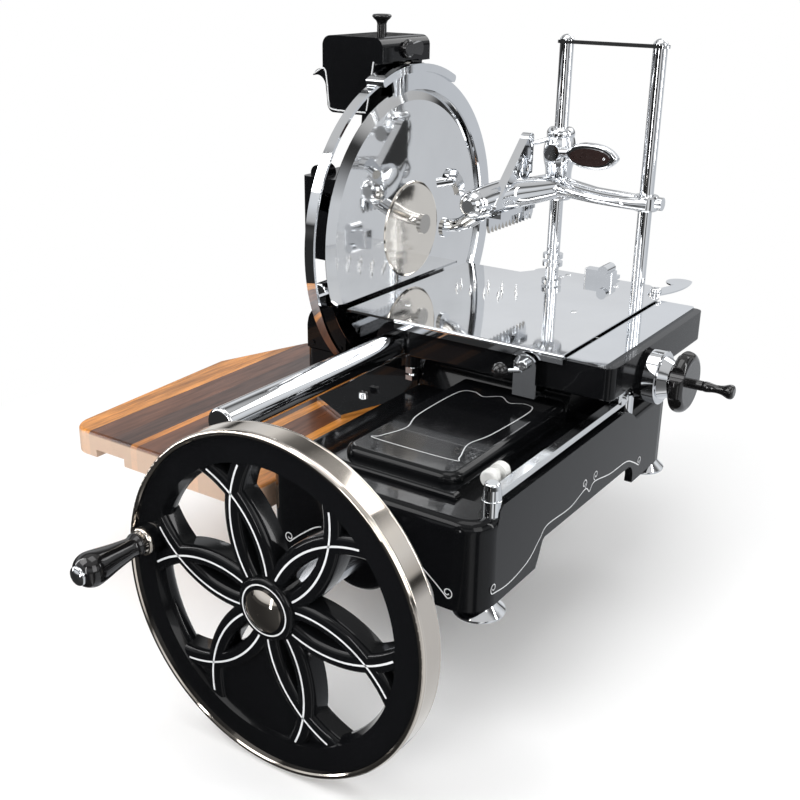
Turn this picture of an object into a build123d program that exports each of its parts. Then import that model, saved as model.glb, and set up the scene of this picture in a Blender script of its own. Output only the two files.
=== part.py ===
from build123d import *
from math import asin, atan2, cos, degrees, hypot, pi, radians, sin, sqrt
import os

# Hand crank slicer, in millimetres. The origin is the centre of the four feet, on the plane
# they stand on. +X points from the blade to the food side, +Y away from the flywheel, +Z up.

RUN = 0.05                      # radial clearance of a shaft in its bush
SEAT = 0.02                     # gap between a round piece and the hole that it is fixed in
GAP = 0.3                       # clearance between neighbours that move apart

# ---- base casting and feet
WALL = 8.0
BASE_HALF = 108.0
BASE_FRONT = -200.0
BASE_BACK = 190.0
BASE_TOP = 90.0
BASE_CORNER = 26.0
LEG_BOTTOM = 12.0
CHANNEL_FLOOR = 84.0
RAIL_WALL_TOP = 98.0
DECK_HALF = 58.0
DECK_FRONT = -142.0
DECK_TOP = 104.0
RISER_Y = 54.0
RISER_TOP = 115.0
FOOT_X = 92.5
FOOT_Y = 170.5
FOOT_R = 22.0
FOOT_STUD_R = 5.0
FOOT_STUD_LENGTH = 26.0
FOOT_SOCKET_R = 4.0
FOOT_SOCKET_DEPTH = 10.0

# ---- wing that carries the blade tower, and the tower
WING_BOTTOM = 66.0
WING_TOP = 100.0
HEEL_BOTTOM = 33.0
HEEL_FRONT = 147.0
HEEL_BACK = 210.0
TOWER_LEFT = -250.0
TOWER_RIGHT = -195.0
TOWER_FRONT = 40.0
TOWER_SHOULDER = 150.0
COVER_THICK = 3.0
COLUMN_LEFT = -240.0
COLUMN_FACE = -201.0
COLUMN_TOP = 285.0
GEARBOX_BOTTOM = 200.0

# ---- guide tube, saddle and rail
TUBE_X = -123.0
TUBE_Z = 132.8
TUBE_R = 14.2
TUBE_FRONT = -235.0
TUBE_BACK = 290.0
SADDLE_WEB = 10.0
RAIL_X = 99.2
RAIL_WIDE = 9.0
RAIL_TOP = 108.5
RAIL_THICK = 6.0
RAIL_FRONT = -169.5
RAIL_BACK = 89.0
POST_R = 8.0

# ---- flywheel and hand grip
WHEEL_Z = 47.1
WHEEL_FACE = -327.5
WHEEL_WIDE = 24.0
WHEEL_R = 139.2
BAND_THICK = 4.6
RIM_INNER = 111.0
RIM_RECESS = 3.0
PETAL_TIP_R = 90.0
PETAL_BAR_R = 8.0
PETAL_TURN = -9.5
PETAL_COUNT = 6
HUB_R = 25.5
HUB_CAP_R = 17.0
SHAFT_R = 10.0
GRIP_ANGLE = 170.5
GRIP_R = 122.0
GRIP_LENGTH = 60.0
STUD_R = 4.0

# ---- drive train
GEAR_MODULE = 1.5
MAIN_TEETH = 40
PINION_TEETH = 20
LAY_Z = 65.0
BEVEL_TEETH = 20
BEVEL_MODULE = 1.8
CROSS_Y = 178.0
CROSS_R = 7.0
LAY_R = 7.0
GEAR_WIDE = 12.0
MAIN_GEAR_Y = -134.0
CHAIN_PITCH = 9.525
LOWER_SPROCKET_TEETH = 12
UPPER_SPROCKET_TEETH = 8
CHAIN_X = -225.0
CHAIN_WIDE = 5.0

# ---- blade group
BLADE_Y = 143.3
BLADE_Z = 220.0
RING_FACE = -181.5
RING_R = 165.0
RING_LIP = 18.0
RING_LIP_THICK = 2.5
RING_DEPTH = 19.5
BLADE_R = 149.0
BLADE_THICK = 3.5
BLADE_PLATE_R = 52.0
GUARD_OPEN_FROM = 105.0
GUARD_OPEN_TO = 262.0

# ---- sharpener
SHARP_Y = 143.0
KNOB_Z = 407.0
STONE_Z = 383.0
NOTCH_X = -189.8
SHARP_TOP = 419.0
SHARP_LEFT = -270.0
SHARP_RIGHT = -194.0
SHARP_BOTTOM = 342.0
SHARP_FRONT = 100.0
SHARP_BACK = 188.0
SADDLE_ARM = 8.0
STONE_R = 11.0

# ---- carriage
CAR_LEFT = -112.0
CAR_RIGHT = 113.0
CAR_FRONT = 20.0
CAR_BACK = 250.0
CAR_BOTTOM = 124.0
CAR_TOP = 156.0
SLEEVE_WALL = 8.5
DIAL_Y = 106.0
DIAL_Z = 127.0
DIAL_R = 26.0
KNOB_R = 29.0
SCREW_R = 5.0
ROLLER_Y = 66.0
ROLLER_R = 6.5

# ---- food table and its rods
TABLE_TOP = 161.0
TABLE_THICK = 2.5
TABLE_LEFT = -178.0
TABLE_RIGHT = 63.6
TABLE_FRONT = 17.0
TABLE_BACK = 254.0
ROD_Y = 275.4
ROD_LEFT = -76.4
ROD_RIGHT = 28.6
ROD_R = 7.5
ROD_TOP = 412.0

# ---- clamp arm
ARM_Z = 255.5
EYE_R = 14.0
SLIDE_GAP = 0.35
PRESS_X = -102.0
PRESS_FRONT = 165.0
PRESS_BACK = 292.0
PRESS_LOW = 222.0
PRESS_TOP = 236.0

# ---- slice board
BOARD_TOP = 62.0
BOARD_THICK = 25.0

DIRECTION = {"x": (1, 0, 0), "y": (0, 1, 0), "z": (0, 0, 1)}


# ---- helpers
def block(x0, x1, y0, y1, z0, z1):
    """Box between two corners."""
    return Pos((x0 + x1) / 2, (y0 + y1) / 2, (z0 + z1) / 2) * Box(x1 - x0, y1 - y0, z1 - z0)


def rod(axis, centre, start, end, radius):
    """Cylinder along an axis from start to end; centre gives the other two coordinates."""
    turn = {"x": Rot(0, 90, 0), "y": Rot(90, 0, 0), "z": Rot(0, 0, 0)}[axis]
    middle = (start + end) / 2
    place = {"x": (middle, *centre), "y": (centre[0], middle, centre[1]), "z": (*centre, middle)}[axis]
    return Pos(*place) * turn * Cylinder(radius, end - start)


def pipe(axis, centre, start, end, outer, inner):
    """Hollow cylinder."""
    return rod(axis, centre, start, end, outer) - rod(axis, centre, start - 1, end + 1, inner)


def bar_between(p, q, radius, end_radius=None):
    """Round bar, or cone frustum, from point p to point q."""
    start, end = Vector(*p), Vector(*q)
    plane = Plane(origin=start, z_dir=end - start)
    length = (end - start).length
    if end_radius is None or end_radius == radius:
        return plane * Pos(0, 0, length / 2) * Cylinder(radius, length)
    return plane * Pos(0, 0, length / 2) * Cone(radius, end_radius, length)


def outline(place, start, *moves):
    """Closed face: a point is a straight move, two points an arc, more points a smooth curve."""
    here = start
    edges = []
    for move in moves:
        if not isinstance(move[0], tuple):
            edges.append(Line(place(*here), place(*move)))
            here = move
        else:
            points = [place(*p) for p in (here, *move)]
            edges.append(ThreePointArc(*points) if len(move) == 2 else Spline(*points))
            here = move[-1]
    if here != start:
        edges.append(Line(place(*here), place(*start)))
    return make_face(edges)


def prism(axis, start, end, first, *moves):
    """Outline in the plane square to an axis, drawn at start and pulled to end."""
    place = {"x": lambda a, b: (start, a, b),
             "y": lambda a, b: (a, start, b),
             "z": lambda a, b: (a, b, start)}[axis]
    return extrude(outline(place, first, *moves), amount=end - start, dir=DIRECTION[axis])


def turned(axis, centre, first, *moves):
    """Solid of revolution; outline points are (distance along the axis from centre, radius)."""
    x, y, z = centre
    place = {"x": lambda a, r: (x + a, y, z + r),
             "y": lambda a, r: (x, y + a, z + r),
             "z": lambda a, r: (x + r, y, z + a)}[axis]
    return revolve(outline(place, first, *moves), Axis(centre, DIRECTION[axis]), 360)


def around(axis, centre, angle):
    """Point turn about an axis through centre, as a location."""
    x, y, z = centre
    turn = {"x": Rot(angle, 0, 0), "y": Rot(0, angle, 0), "z": Rot(0, 0, angle)}[axis]
    return Pos(x, y, z) * turn * Pos(-x, -y, -z)


def blade_point(radius, angle):
    """(y, z) at an angle from +Y towards +Z about the blade's axis."""
    return (BLADE_Y + radius * cos(radians(angle)), BLADE_Z + radius * sin(radians(angle)))


def hex_head(centre, z0, z1, across):
    """Hexagonal nut or bolt head along Z."""
    return Pos(*centre, z0) * extrude(RegularPolygon(across / sqrt(3), 6), amount=z1 - z0)


def dome(start, radius, top):
    """Arc of a sphere that closes a turned outline from (start, radius) onto the axis at top."""
    height = top - start
    ball = (radius ** 2 + height ** 2) / (2 * abs(height))
    centre = top - ball * (1 if height > 0 else -1)
    half = asin(min(1.0, radius / ball)) / 2
    middle = centre + ball * cos(half) * (1 if height > 0 else -1)
    return ((middle, ball * sin(half)), (top, 0))


def gear_face(teeth, module, scale=1.0, phase=0.0):
    """Straight-flanked gear outline with tip and flank clearance, centred on the plane's origin."""
    pitch = teeth * module / 2
    root = (pitch - 1.2 * module) * scale
    tip = (pitch + 0.85 * module) * scale
    step = 360 / teeth
    points = []
    for tooth in range(teeth):
        for share, radius in ((-0.30, root), (-0.10, tip), (0.10, tip), (0.30, root)):
            angle = radians(step * (tooth + share) + phase)
            points.append((radius * cos(angle), radius * sin(angle)))
    return make_face(Polyline(*points, close=True))


# ---- base
def side_cut():
    """Space under the side walls: an S step behind the front leg, straight, then the rear leg."""
    low = -10.0
    return prism("x", TOWER_LEFT - 10, BASE_HALF + 10,
                 (-102, low), (-102, LEG_BOTTOM + 1), ((-97, 22), (-92, 33)), ((-90, 35), (-84, 36)),
                 (92, 33), ((99, 30), (104, LEG_BOTTOM + 1)), (104, low))


def end_cut():
    """Arch under the front and rear walls, between the legs."""
    low = -10.0
    return prism("y", BASE_FRONT - 20, BASE_BACK + 10,
                 (-68, low), (-68, 14), ((-60, 34), (-42, 42)), ((0, 46), (42, 42)),
                 ((60, 34), (68, 14)), (68, low))


def base_shell():
    """Rounded box that is open below, with its inside cut by the wall thickness."""
    length = BASE_BACK - BASE_FRONT
    middle = (BASE_BACK + BASE_FRONT) / 2
    outer = extrude(Pos(0, middle, LEG_BOTTOM) * RectangleRounded(2 * BASE_HALF, length, BASE_CORNER),
                    amount=BASE_TOP - LEG_BOTTOM)
    outer = fillet(outer.edges().group_by(Axis.Z)[-1], 9)
    wide = 2 * (BASE_HALF - WALL)
    inner = extrude(Pos(0, middle, LEG_BOTTOM - 1)
                    * RectangleRounded(wide, length - 2 * WALL, BASE_CORNER - WALL),
                    amount=CHANNEL_FLOOR - WALL - LEG_BOTTOM + 1)
    return outer, inner


def deck():
    """Raised deck with its riser at the back, and the room under them."""
    top = extrude(Pos(0, (DECK_FRONT + RISER_Y) / 2, CHANNEL_FLOOR - WALL)
                  * RectangleRounded(2 * DECK_HALF, RISER_Y - DECK_FRONT + 30, 16),
                  amount=DECK_TOP - CHANNEL_FLOOR + WALL)
    top = fillet(top.edges().group_by(Axis.Z)[-1], 7)
    front = DECK_FRONT - 15
    step = prism("z", CHANNEL_FLOOR - WALL, BASE_TOP + 5,
                 (-DECK_HALF - 8, front - 12), (DECK_HALF + 8, front - 12), (DECK_HALF + 3, -60),
                 (-DECK_HALF - 3, -60))
    step = fillet(step.edges().group_by(Axis.Z)[-1], 4)
    riser = prism("x", -BASE_HALF + 4, DECK_HALF + 2,
                  (30, CHANNEL_FLOOR - WALL), (36, CHANNEL_FLOOR), (50, RISER_TOP - 6),
                  ((52, RISER_TOP - 2), (58, RISER_TOP)), (BASE_BACK - 6, RISER_TOP),
                  (BASE_BACK - 2, RISER_TOP - 8), (BASE_BACK, CHANNEL_FLOOR - WALL))
    under_deck = block(-DECK_HALF + WALL, DECK_HALF - WALL, DECK_FRONT, RISER_Y,
                       LEG_BOTTOM, DECK_TOP - WALL)
    under_riser = block(-BASE_HALF + WALL + 6, DECK_HALF - WALL, RISER_Y + WALL, BASE_BACK - WALL,
                        LEG_BOTTOM, RISER_TOP - WALL)
    return top + step + riser, under_deck + under_riser


def rail_wall():
    """Ledge on the right wall that carries the rail, and the cone that fairs the front post."""
    ledge = prism("x", BASE_HALF - 12, BASE_HALF,
                  (RAIL_FRONT - 6, CHANNEL_FLOOR - WALL), (RAIL_FRONT - 2, RAIL_WALL_TOP - 8),
                  ((RAIL_FRONT, RAIL_WALL_TOP - 2), (RAIL_FRONT + 6, RAIL_WALL_TOP)),
                  (62, RAIL_WALL_TOP), ((88, 91), (106, CHANNEL_FLOOR - WALL)))
    fairing = Pos(RAIL_X, RAIL_FRONT, 67) * Cone(2.5, POST_R + 1, 44)
    return ledge + fairing


def wing():
    """Box at the left that carries the tower; the slice board slides under it. Its heel reaches
    down behind the board, to the cross shaft's level."""
    body = block(TOWER_LEFT, -BASE_HALF + 2, TOWER_FRONT, BASE_BACK, WING_BOTTOM, WING_TOP)
    body = fillet(body.edges().filter_by(Axis.Z).sort_by(Axis.X)[:2], 8)
    heel = block(TOWER_LEFT, -BASE_HALF + 2, HEEL_FRONT, HEEL_BACK, HEEL_BOTTOM, WING_TOP)
    room = block(BLADE_SLOT_RIGHT + WALL, -BASE_HALF + WALL + 8, TOWER_FRONT + WALL, HEEL_FRONT - 3,
                 WING_BOTTOM - 1, WING_TOP - WALL)
    room = room + block(BLADE_SLOT_RIGHT + WALL, -BASE_HALF - 6, HEEL_FRONT + 6, HEEL_BACK - 6,
                        HEEL_BOTTOM - 1, WING_TOP - WALL)
    slot = rod("x", (BLADE_Y, BLADE_Z), BLADE_SLOT_LEFT, BLADE_SLOT_RIGHT, BLADE_R + 2)
    return body + heel, room + slot


def lay_x():
    """X of the layshaft, from the centre distance of the main gear and its pinion."""
    distance = GEAR_MODULE * (MAIN_TEETH + PINION_TEETH) / 2
    return -sqrt(distance ** 2 - (LAY_Z - WHEEL_Z) ** 2)


BUSH_WALL = 4.0
WEB_THICK = 8.0
BLADE_SLOT_LEFT = -191.0
BLADE_SLOT_RIGHT = -180.0
FRONT_BOSS_Y = BASE_FRONT - 15
WEB_FRONT_Y = -114.0
WEB_BACK_Y = 130.0


def webs():
    """Cross webs inside the base that hold the inner ends of the shafts."""
    front = block(-BASE_HALF + WALL - 1, BASE_HALF - WALL + 1, WEB_FRONT_Y, WEB_FRONT_Y + WEB_THICK,
                  WHEEL_Z - SHAFT_R - 9, CHANNEL_FLOOR - 1)
    front = front + block(-DECK_HALF + 2, DECK_HALF - 2, WEB_FRONT_Y, WEB_FRONT_Y + WEB_THICK,
                          CHANNEL_FLOOR - 4, DECK_TOP - WALL + 1)
    back = block(-BASE_HALF + WALL - 1, DECK_HALF - 2, WEB_BACK_Y, WEB_BACK_Y + WEB_THICK,
                 LAY_Z - 16, RISER_TOP - WALL + 1)
    return front + back


def base_casting():
    """Cast base: shell, deck, riser, wing, legs, bosses and webs in one piece."""
    outer, inner = base_shell()
    raised, under = deck()
    wing_body, wing_room = wing()
    shape = outer + raised + rail_wall()
    channel = block(DECK_HALF + 3, BASE_HALF - 12, RAIL_FRONT + 10, 62, CHANNEL_FLOOR, RISER_TOP)
    shape = shape - channel - inner - under - side_cut() - end_cut()
    legs = [rod("z", (sx * FOOT_X, sy * FOOT_Y), LEG_BOTTOM, CHANNEL_FLOOR - 2, 15.0)
            for sx in (-1, 1) for sy in (-1, 1)]
    shelf = block(-200, -BASE_HALF + 2, -150, 120, 29, BOARD_TOP - BOARD_THICK - GAP)
    boss = turned("y", (0, FRONT_BOSS_Y, WHEEL_Z), (0, 0), (0, 30), ((1, 35), (5, 38)), (24, 38),
                  (24, 0))
    lay, cross = (lay_x(), LAY_Z), (CROSS_Y, LAY_Z)
    cross_boss = rod("x", cross, -BASE_HALF - 8, -BASE_HALF + WALL + 6, CROSS_R + BUSH_WALL + 8)
    wing_body = wing_body - wing_room - chain_room(0)
    bulge = rod("x", cross, lay_x() - 34, lay_x() + 4, BEVEL_TEETH * BEVEL_MODULE / 2 + 8)
    shape = shape + wing_body + legs + shelf + boss + webs() + cross_boss + bulge
    wide, narrow = SHAFT_R + BUSH_WALL + SEAT, LAY_R + BUSH_WALL + SEAT
    holes = [rod("y", (0, WHEEL_Z), FRONT_BOSS_Y - 1, BASE_FRONT + WALL + 6, wide),
             rod("y", (0, WHEEL_Z), WEB_FRONT_Y - 1, WEB_FRONT_Y + WEB_THICK + 1, wide),
             rod("y", lay, WEB_FRONT_Y - 1, WEB_FRONT_Y + WEB_THICK + 1, narrow),
             rod("y", lay, WEB_BACK_Y - 1, WEB_BACK_Y + WEB_THICK + 1, narrow),
             rod("y", lay, MAIN_GEAR_Y - 3, MAIN_GEAR_Y + GEAR_WIDE + 3, 19),
             rod("x", cross, CHAIN_X, lay_x() - 22, narrow),
             rod("x", cross, lay_x() - 27, lay_x() - 2, BEVEL_TEETH * BEVEL_MODULE / 2 + 3),
             rod("y", lay, CROSS_Y - 26, CROSS_Y - 4, BEVEL_TEETH * BEVEL_MODULE / 2 + 3)]
    for sx in (-1, 1):
        for sy in (-1, 1):
            holes.append(rod("z", (sx * FOOT_X, sy * FOOT_Y), LEG_BOTTOM - 1,
                             LEG_BOTTOM + FOOT_STUD_LENGTH + 1, FOOT_STUD_R + SEAT))
    holes.append(rod("z", (RAIL_X, RAIL_FRONT), CHANNEL_FLOOR + 4, RISER_TOP, POST_R + SEAT))
    holes.append(rod("z", (RAIL_X, RAIL_BACK), CHANNEL_FLOOR - 7, RISER_TOP, POST_R + SEAT))
    return shape - holes


def levelling_feet():
    """Four domed feet on threaded studs, each with a blind bolt socket from below."""
    feet = []
    for sx in (-1, 1):
        for sy in (-1, 1):
            foot = turned("z", (sx * FOOT_X, sy * FOOT_Y, 0),
                          (0, 0), (0, FOOT_R - 2), ((1, FOOT_R - 0.4), (3, FOOT_R)),
                          ((8, FOOT_R - 5), (LEG_BOTTOM, 13.5)), (LEG_BOTTOM, FOOT_STUD_R),
                          (LEG_BOTTOM + FOOT_STUD_LENGTH, FOOT_STUD_R),
                          (LEG_BOTTOM + FOOT_STUD_LENGTH, 0))
            socket = rod("z", (sx * FOOT_X, sy * FOOT_Y), -1, FOOT_SOCKET_DEPTH, FOOT_SOCKET_R)
            feet.append(foot - socket)
    return feet


# ---- tower
def sprocket_radius(teeth):
    return CHAIN_PITCH / (2 * sin(pi / teeth))


def chain_loop(spread):
    """Face round both sprockets in the chain's plane, spread outwards from the pitch line."""
    lower = sprocket_radius(LOWER_SPROCKET_TEETH) + spread
    upper = sprocket_radius(UPPER_SPROCKET_TEETH) + spread
    rise = atan2(BLADE_Z - LAY_Z, BLADE_Y - CROSS_Y)
    distance = hypot(BLADE_Z - LAY_Z, BLADE_Y - CROSS_Y)
    lean = asin((lower - upper) / distance)

    def at(centre, radius, angle):
        return (centre[0] + radius * cos(angle), centre[1] + radius * sin(angle))

    low, high = (CROSS_Y, LAY_Z), (BLADE_Y, BLADE_Z)
    right, left = rise - pi / 2 + lean, rise + pi / 2 - lean
    return (at(low, lower, right), at(high, upper, right),
            (at(high, upper, rise), at(high, upper, left)), at(low, lower, left),
            (at(low, lower, rise + pi), at(low, lower, right)))


def chain_room(extra):
    """Cavity for the chain, through the tower and the wing."""
    half = CHAIN_WIDE / 2 + 3.5 + extra
    return prism("x", CHAIN_X - half, CHAIN_X + half, *chain_loop(7.5 + extra))


def tower_casting():
    """Blade tower: lower body on the wing, column to the blade shaft, gearbox and upper arm."""
    body = prism("y", TOWER_FRONT + COVER_THICK, HEEL_BACK,
                 (TOWER_LEFT, WING_TOP), (TOWER_RIGHT, WING_TOP), (TOWER_RIGHT, TOWER_SHOULDER),
                 (TOWER_LEFT + 25, TOWER_SHOULDER),
                 ((TOWER_LEFT + 7.3, TOWER_SHOULDER - 7.3), (TOWER_LEFT, TOWER_SHOULDER - 25)))
    body = body - block(COLUMN_FACE, TOWER_RIGHT + 1, 60, 300, 0, 500)
    column = block(COLUMN_LEFT, COLUMN_FACE, 78, HEEL_BACK - 4, TOWER_SHOULDER - 1, COLUMN_TOP)
    column = fillet(column.edges().filter_by(Axis.Z), 6)
    gearbox = block(-252, -206, 40, 150, GEARBOX_BOTTOM, COLUMN_TOP)
    gearbox = fillet(gearbox.edges().filter_by(Axis.Z), 6)
    arm = prism("x", -256, -214, (144, COLUMN_TOP - 5), (187, COLUMN_TOP - 5), (187, SHARP_BOTTOM),
                (152, SHARP_BOTTOM))
    cap = rod("y", (-244, 285), 56, 76, 9)
    shape = body + column + gearbox + arm + cap
    shape = shape - chain_room(0)
    shape = shape - rod("x", (BLADE_Y, BLADE_Z), CHAIN_X, COLUMN_FACE + 1, SHAFT_R + BUSH_WALL + 2 + SEAT)
    return shape


def tower_cover():
    """Front cover of the tower's lower body, with four screw heads."""
    left, right = TOWER_LEFT + 2, TOWER_RIGHT - 2
    low, high = WING_TOP + 1, TOWER_SHOULDER - 2
    plate = prism("y", TOWER_FRONT, TOWER_FRONT + COVER_THICK,
                  (left, low), (right, low), (right, high), (left + 24, high),
                  ((left + 7, high - 7), (left, high - 24)))
    screws = [rod("y", (x, z), TOWER_FRONT - 1.5, TOWER_FRONT + 0.5, 2.8)
              for x, z in ((left + 7, low + 6), (right - 7, low + 6), (right - 7, high - 6),
                           (left + 14, high - 14))]
    return plate + screws


def blade_bearing():
    """Flanged bronze bush of the blade shaft."""
    bush = pipe("x", (BLADE_Y, BLADE_Z), CHAIN_X + 6, COLUMN_FACE, SHAFT_R + BUSH_WALL + 2, SHAFT_R + RUN)
    flange = pipe("x", (BLADE_Y, BLADE_Z), COLUMN_FACE, COLUMN_FACE + 4, 24, SHAFT_R + RUN)
    return bush + flange


def drive_chain():
    """Chain loop round both sprockets, as a smooth band at the chain's size."""
    half = CHAIN_WIDE / 2
    band = prism("x", CHAIN_X - half, CHAIN_X + half, *chain_loop(4.0))
    return band - prism("x", CHAIN_X - half - 1, CHAIN_X + half + 1, *chain_loop(0.6))


# ---- tube, saddle, rail
def guide_tube():
    """Polished guide tube, and the turned cap in its front end."""
    tube = pipe("y", (TUBE_X, TUBE_Z), TUBE_FRONT + 4, TUBE_BACK, TUBE_R, TUBE_R - 3)
    cap = turned("y", (TUBE_X, TUBE_FRONT, TUBE_Z),
                 (0, 0), (0, TUBE_R - 4), ((0.8, TUBE_R - 1), (2.5, TUBE_R)), (4, TUBE_R),
                 (4, TUBE_R - 3 - SEAT), (14, TUBE_R - 3 - SEAT), (14, 0))
    plug = turned("y", (TUBE_X, TUBE_BACK, TUBE_Z),
                  (-10, 0), (-10, TUBE_R - 3 - SEAT), (0, TUBE_R - 3 - SEAT), (0, TUBE_R),
                  (2, TUBE_R), ((3.4, TUBE_R - 1), (4, TUBE_R - 3)), (4, 0))
    return [tube, cap, plug]


def tube_saddle():
    """Narrow web on the wing that holds the tube from below, so the carriage sleeve can pass."""
    y0, y1 = 112, BASE_BACK - 4
    foot = block(TUBE_X - 13, TUBE_X + 13, y0, y1, WING_TOP, WING_TOP + 6)
    web = block(TUBE_X - SADDLE_WEB / 2, TUBE_X + SADDLE_WEB / 2, y0, y1, WING_TOP, TUBE_Z)
    foot = fillet(foot.edges().filter_by(Axis.Z), 5)
    return foot + web - rod("y", (TUBE_X, TUBE_Z), y0 - 1, y1 + 1, TUBE_R + SEAT)


def rail_bar():
    return block(RAIL_X - RAIL_WIDE / 2, RAIL_X + RAIL_WIDE / 2, RAIL_FRONT, RAIL_BACK,
                 RAIL_TOP - RAIL_THICK, RAIL_TOP)


def rail_posts():
    """Turned posts at the ends of the rail; the bar lies in a slot in each."""
    front = turned("z", (RAIL_X, RAIL_FRONT, 0),
                   (CHANNEL_FLOOR + 4, 0), (CHANNEL_FLOOR + 4, POST_R), (102, POST_R),
                   ((103, POST_R - 0.8), (104, POST_R)), (112, 7.2), (115, 6.4),
                   ((116.5, 5.8), (117, 4.8)), (117, 0))
    back = turned("z", (RAIL_X, RAIL_BACK, 0),
                  (CHANNEL_FLOOR - 7, 0), (CHANNEL_FLOOR - 7, POST_R), (110, POST_R), (111.5, 6.5),
                  (113, 6.5), (113, 0))
    return [front - rail_bar(), back - rail_bar()]


def carriage_buffer():
    """Stop rod with a rubber tip beside the front of the rail."""
    x, z = 84.0, 107.0
    holder = block(x - 5, x + 5, -134, -126, CHANNEL_FLOOR, z) + rod("y", (x, z), -134, -126, 8)
    holder = holder - rod("y", (x, z), -140, -120, 4 + SEAT)
    pin = rod("y", (x, z), -142, -120, 4)
    tip = turned("y", (x, -150, z), (0, 0), (0, 5.5), ((0.8, 7.2), (2.5, 7.8)), (8, 7.8), (8, 0))
    return [holder, pin, tip]


def board_clip_plate():
    """Steel plate under the wing that laps over the slice board, with its screw."""
    plate = prism("z", BOARD_TOP + 0.5, WING_BOTTOM, (-204, -1), (-152, -29), (-128, 44), (-128, 62),
                  (-196, 62))
    lip = prism("z", BOARD_TOP + 0.5, WING_BOTTOM, (-128, 30), (-BASE_HALF, 30), (-BASE_HALF, 62), (-128, 62))
    screw = rod("z", (-166, 30), WING_BOTTOM - 1, WING_BOTTOM + 2.5, 5.5)
    return plate + lip + screw


# ---- flywheel
def wheel_point(radius, angle):
    """(x, z) at an angle from +X towards +Z about the flywheel's axis."""
    return (radius * cos(radians(angle)), WHEEL_Z + radius * sin(radians(angle)))


def petal_bars(front, deep):
    """Twelve rounded half arcs; each is an arc about one petal tip, from the hub to the rim."""
    inner, outer = PETAL_TIP_R - PETAL_BAR_R, PETAL_TIP_R + PETAL_BAR_R
    near = 2 * asin((HUB_R - 10) / (2 * PETAL_TIP_R))
    far = 2 * asin((RIM_INNER + 2) / (2 * PETAL_TIP_R))
    bars = []
    for k in range(PETAL_COUNT):
        tip_angle = PETAL_TURN + 360 / PETAL_COUNT * k
        tip = wheel_point(PETAL_TIP_R, tip_angle)
        for side in (-1, 1):
            turns = [radians(tip_angle + 180) + side * t for t in (near, (near + far) / 2, far)]
            a0, a1, a2 = [(tip[0] + inner * cos(t), tip[1] + inner * sin(t)) for t in turns]
            b0, b1, b2 = [(tip[0] + outer * cos(t), tip[1] + outer * sin(t)) for t in turns]
            face = outline(lambda x, z: (x, front, z), a0, (a1, a2), b2, (b1, b0))
            bar = extrude(face, amount=deep, dir=(0, 1, 0))
            rims = [e for e in bar.edges().filter_by_position(Axis.Y, front - 0.01, front + 0.01)
                    if e.length > 5 * PETAL_BAR_R]
            bars.append(fillet(rims, PETAL_BAR_R - 2))
    return bars[0] + bars[1:]


def flywheel_casting():
    """Black flywheel: rim, six-petal rosette, solid lower sector, hub and grip boss."""
    front = WHEEL_FACE + RIM_RECESS
    back = WHEEL_FACE + WHEEL_WIDE
    inside_band = WHEEL_R - BAND_THICK
    rim = turned("y", (0, 0, WHEEL_Z),
                 (front, RIM_INNER + 3), (front, inside_band - SEAT), (back - 2, inside_band - SEAT),
                 (back - 2, RIM_INNER + 3), ((back - 8, RIM_INNER), (front + 8, RIM_INNER)))
    low, high = PETAL_TURN - 120, PETAL_TURN - 60
    middle = PETAL_TURN - 90
    web = prism("y", front + 5, front + 13,
                wheel_point(14, middle), wheel_point(PETAL_TIP_R, low), wheel_point(RIM_INNER + 4, low - 8),
                (wheel_point(RIM_INNER + 4, middle), wheel_point(RIM_INNER + 4, high + 8)),
                wheel_point(PETAL_TIP_R, high))
    hub = turned("y", (0, 0, WHEEL_Z),
                 (front - 3, 0), (front - 3, HUB_R - 4), ((front - 2, HUB_R - 1), (front + 1, HUB_R)),
                 (back - 1, HUB_R), (back - 1, 0))
    centre = wheel_point(GRIP_R, GRIP_ANGLE)
    boss = rod("y", centre, front - 4, back - 4, 12)
    shape = rim + petal_bars(front + 1.5, 17) + web + hub + boss
    shape = shape & rod("y", (0, WHEEL_Z), front - 10, back + 1, inside_band - SEAT)
    bore = rod("y", (0, WHEEL_Z), front - 10, back + 10, SHAFT_R + SEAT)
    return shape - bore - rod("y", centre, front - 10, back + 10, STUD_R + SEAT)


def flywheel_band():
    """Polished band round the rim, rounded at both corners."""
    r, t, w = WHEEL_R, BAND_THICK, WHEEL_WIDE
    return turned("y", (0, WHEEL_FACE, WHEEL_Z),
                  (0, r - t + 1), ((-0.3, r - t / 2), (1, r - 0.6)), ((2, r), (4, r)), (w - 4, r),
                  ((w - 2, r), (w - 0.5, r - 1.2)), (w, r - t), (1, r - t))


def hub_cap():
    """Domed cap on the hub."""
    seat = WHEEL_FACE + RIM_RECESS - 3
    return turned("y", (0, seat, WHEEL_Z), (0, 0), (0, HUB_CAP_R), (-1.5, HUB_CAP_R),
                  dome(-1.5, HUB_CAP_R, -7))


def flywheel_shaft():
    """Shaft from the hub through the front boss to the inner web, with its keyed collar."""
    front = WHEEL_FACE + RIM_RECESS - 3
    collar = rod("y", (0, WHEEL_Z), WHEEL_FACE + WHEEL_WIDE - 1, FRONT_BOSS_Y - GAP, SHAFT_R + 5)
    shaft = rod("y", (0, WHEEL_Z), front, WEB_FRONT_Y + WEB_THICK + 6, SHAFT_R)
    return shaft + collar


def main_gear():
    """Spur gear on the flywheel shaft."""
    plane = Plane(origin=(0, MAIN_GEAR_Y, WHEEL_Z), x_dir=(1, 0, 0), z_dir=(0, 1, 0))
    aim = -degrees(atan2(LAY_Z - WHEEL_Z, lay_x()))
    wheel = extrude(plane * gear_face(MAIN_TEETH, GEAR_MODULE, phase=aim), amount=GEAR_WIDE)
    return wheel - rod("y", (0, WHEEL_Z), MAIN_GEAR_Y - 1, MAIN_GEAR_Y + GEAR_WIDE + 1, SHAFT_R + SEAT)


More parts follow.
